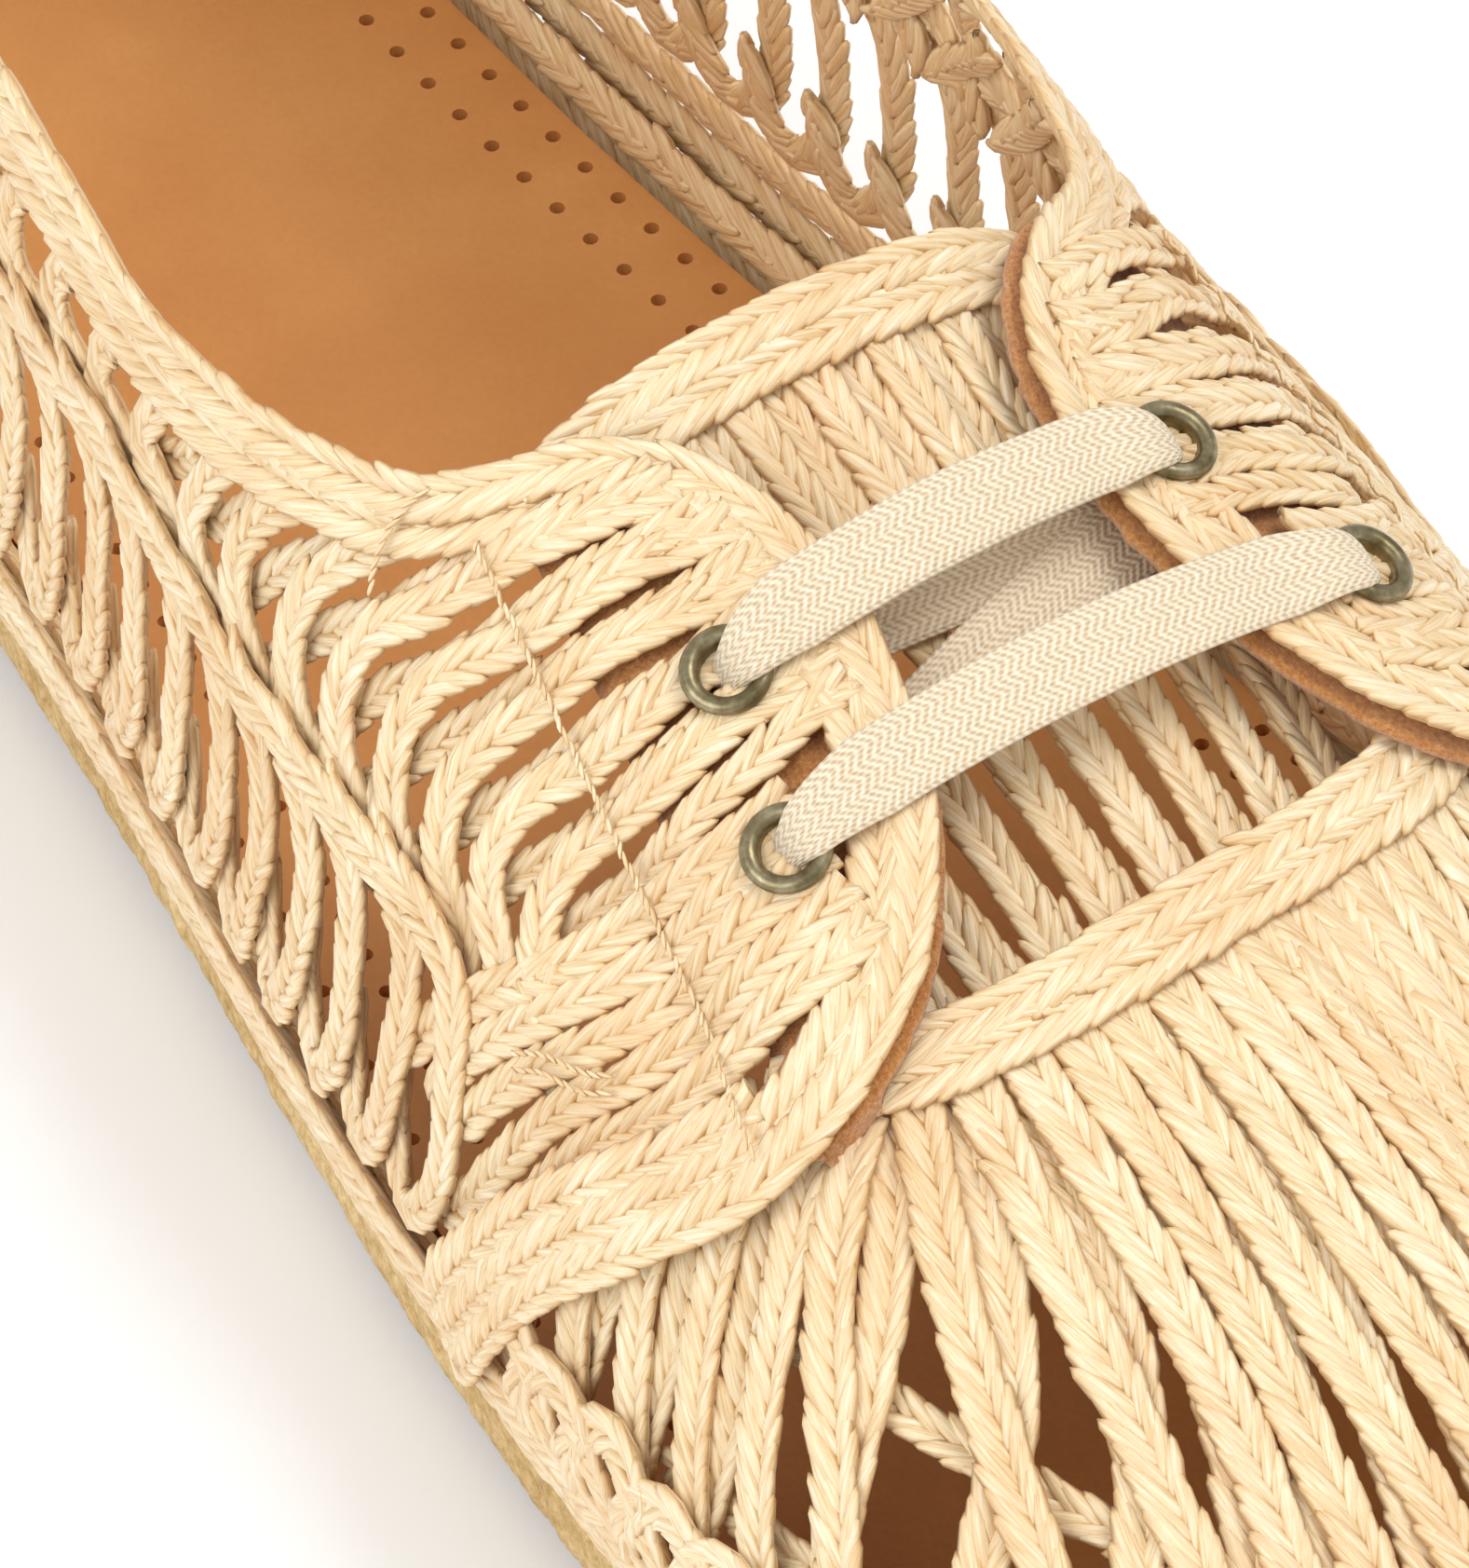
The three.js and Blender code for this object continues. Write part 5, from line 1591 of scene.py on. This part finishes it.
@dataclass
class RopeSole:
    """The three turns of jute rope that show round the midsole's side."""

    base: float = 3.3
    top: float = 9.7
    turns: int = 3
    inset: float = 4.5
    overlap: float = 2.5

    def routes(self) -> list[Route]:
        """Return the turns as closed routes."""
        made = []
        thick = (self.top - self.base) / self.turns
        rounds = np.linspace(-self.overlap, LAST.girth, 700)
        edge = LAST.edge(rounds)
        inward = LAST.inward(rounds)
        for turn in range(self.turns):
            z = self.base + (turn + 0.5) * thick + LAST.feather(edge[:, 0]) - LAST.sole_height
            line = np.concatenate([edge + inward * self.inset, z[:, None]], 1)
            out = np.concatenate([-inward, 0 * z[:, None]], 1)
            made.append(Route(*even_out(line, out), width=4.6, pitch=1.5, depth=0.8, tone=0.5))
        return made


@dataclass
class Thread:
    """The stitches that hold the facings, and the ties at the collar and the lattice."""

    router: Router
    stitch: float = 3.4

    def routes(self) -> list[Route]:
        """Return the threads."""
        made = []
        look = {"width": 0.9, "pitch": 1.0, "tone": 0.3, "depth": 1.0}
        for tab in TABS:
            x = np.linspace(tab.back + 0.008, tab.front - 0.004, 160) * LAST.length
            y = tab.side.value * (tab.seam(x) + 0.4)
            lift = 0.55 + 0.25 * np.sin(x * 2 * math.pi / self.stitch)
            line = LAST.over(x, y)
            out = LAST.upright(x, y)
            high = lift + self.router.rise(x, y)
            made.append(Route(*even_out(line + out * high[:, None], out), **look))
        for knots in (
            [(196.0, 39.0, 0.9), (200.0, 41.0, 1.15), (204.5, 42.5, 1.1), (208.0, 44.5, 0.7)],
            [(196.5, 38.0, 0.9), (200.5, 40.0, 1.2), (205.0, 41.5, 1.15), (208.5, 43.5, 0.7)],
            [(162.5, 64.5, 0.4), (162.2, 61.0, 1.4), (163.0, 57.5, 1.4), (163.8, 54.5, 0.6)],
        ):
            made.append(self.router.skin(knots, on_tab=True, **look))
        return made


@dataclass(frozen=True)
class Studio:
    """Camera, floor and lights. The camera keeps the photo's angle to the shoe."""

    azimuth: float = 58.2
    elevation: float = 48.1
    roll: float = -1.0
    distance: float = 1582.0
    focal_pixels: float = 23445.2
    target: tuple[float, float, float] = (160.95, -13.39, 47.77)
    image_height: float = 1683.0
    sensor: float = 36.0

    def camera(self) -> None:
        """Add the camera."""
        a, e, r = (math.radians(v) for v in (self.azimuth, self.elevation, self.roll))
        back = Vector((math.sin(a) * math.cos(e), -math.cos(a) * math.cos(e), math.sin(e)))
        right = Vector((math.cos(a), math.sin(a), 0))
        up = back.cross(right)
        x_axis = math.cos(r) * right + math.sin(r) * up
        y_axis = -math.sin(r) * right + math.cos(r) * up
        turn = Matrix((x_axis, y_axis, back)).transposed().to_4x4()
        place = Vector(to_frame(np.array(self.target))) + back * self.distance * MM
        data = bpy.data.cameras.new("camera")
        data.sensor_fit = "VERTICAL"
        data.sensor_height = self.sensor
        data.lens = self.focal_pixels * self.sensor / self.image_height
        data.clip_start = 0.05
        data.clip_end = 20
        camera = bpy.data.objects.new("camera", data)
        camera.matrix_world = Matrix.Translation(place) @ turn
        bpy.context.scene.collection.objects.link(camera)
        bpy.context.scene.camera = camera

    def floor(self) -> None:
        """Add the pale floor."""
        bpy.ops.mesh.primitive_plane_add(size=6, location=(0, 0, -0.0002))
        floor = bpy.context.object
        floor.name = "floor"
        s = Shader("pale floor", 1.0, specular=0.0)
        s.surface.inputs["Base Color"].default_value = linear("F8FAFD")
        dress(floor, s.material)

    def light(self, name: str, place: tuple, size: float, power: float) -> None:
        """Add one soft lamp that looks at the shoe."""
        data = bpy.data.lights.new(name, "AREA")
        data.shape = "DISK"
        data.size = size
        data.energy = power
        lamp = bpy.data.objects.new(name, data)
        lamp.location = place
        lamp.rotation_euler = (Vector((0.02, 0, 0.03)) - Vector(place)).to_track_quat("-Z", "Y").to_euler()
        bpy.context.scene.collection.objects.link(lamp)

    def build(self) -> None:
        """Add everything and light the room evenly."""
        self.camera()
        self.floor()
        self.light("key", (0.3, 0.55, 1.5), 0.8, 10)
        self.light("fill", (0.25, -1.3, 1.0), 1.2, 10.5)
        world = bpy.data.worlds.new("room")
        bpy.context.scene.world = world
        world.use_nodes = True
        background = world.node_tree.nodes["Background"]
        background.inputs["Color"].default_value = (1, 0.995, 0.985, 1)
        background.inputs["Strength"].default_value = 0.8
        bpy.context.scene.view_settings.view_transform = "Standard"


def deselect() -> None:
    """Deselect everything."""
    for item in bpy.context.selected_objects:
        item.select_set(False)


class Espadrille:
    """The whole shoe, piece by piece."""

    def __init__(self) -> None:
        """Make the router, the strand shop and the finishes."""
        self.router = Router(LAST, TABS)
        self.shop = StrandShop()
        self.raffia = Raffia().make()
        self.suede = Suede().make()
        self.brass = AntiqueBrass().make()
        self.jute = JuteRope().make()

    def upper(self) -> None:
        """Build the quarters, the vamp and the collar."""
        for side in Side:
            piece = self.shop.weave(f"quarter_plaits_{side.word}", Quarter(self.router, side).routes())
            settle(piece, "raffia", self.raffia, "upper")
        vamp = Vamp(self.router)
        for name, routes in (("fan", vamp.fan()), ("edge", vamp.edge())):
            piece = self.shop.weave(f"vamp_{name}_plaits", routes)
            settle(piece, "raffia", self.raffia, "upper")
        bands = Bands(self.router)
        throat = [bands.throat(inset) for inset in (-3.0, 0.0)]
        heel = [self.heel_strip(offset) for offset in (-1.5, 1.5)]
        piece = self.shop.weave("throat_and_heel_bands", throat + heel)
        settle(piece, "raffia", self.raffia, "upper")
        for side in Side:
            routes = [bands.collar(side, 1.4, 2.8), bands.collar(side, 4.1, 0.0), bands.front(side, -2.8)]
            piece = self.shop.weave(f"edge_bands_{side.word}", routes)
            settle(piece, "raffia", self.raffia, f"facing_{side.word}", "upper")

    def heel_strip(self, offset: float) -> Route:
        """Return one plait of the strip down the back of the heel."""
        top = LAST.top_above(0)
        knots = [(offset, top - 3.0, 0.3), (offset, top * 0.5, 0.3), (offset, 16.0, 0.3), (offset, 9.0, 0.2)]
        return self.router.skin(knots, width=3.1, tone=0.5, bold=True)

    def tongue(self) -> None:
        """Build the tongue."""
        piece = self.shop.weave("tongue_plaits", Tongue(self.router).routes())
        settle(piece, "raffia", self.raffia, "tongue")

    def facings(self) -> None:
        """Build the suede backings, the eyelets and the lace."""
        for tab in TABS:
            piece = Backing(tab, self.router).make()
            settle(piece, "suede", self.suede, f"backing_{tab.side.word}")
        seats = eyelet_seats(self.router)
        eyelet = Eyelet()
        ring = eyelet.model()
        for seat in seats:
            piece = eyelet.set_in(ring, seat)
            settle(piece, "eyelet_brass", self.brass, f"eyelet_{seat.name}")
        piece = Lace(self.router, seats).make()
        settle(piece, "cotton", CottonTape().make(), "lace")
        piece = self.shop.weave("seam_thread", Thread(self.router).routes(), twisted=True)
        settle(piece, "raffia", self.raffia)

    def sole(self) -> None:
        """Build the footbed and the rope, and dress the sole."""
        piece = Footbed().make()
        settle(piece, "insole_leather", FootbedLeather().make(), "insole")
        piece = self.shop.weave("rope_turns", RopeSole().routes(), twisted=True)
        settle(piece, "jute", self.jute)
        dress(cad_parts["midsole"], self.jute)
        dress(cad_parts["outsole"], CrepeRubber().make())


def main() -> None:
    """Build the shoe and its studio."""
    logging.basicConfig(level=logging.INFO, format="%(name)s: %(message)s")
    deselect()
    shoe = Espadrille()
    shoe.upper()
    shoe.tongue()
    shoe.facings()
    shoe.sole()
    Studio().build()


if __name__ == "__main__":
    main()
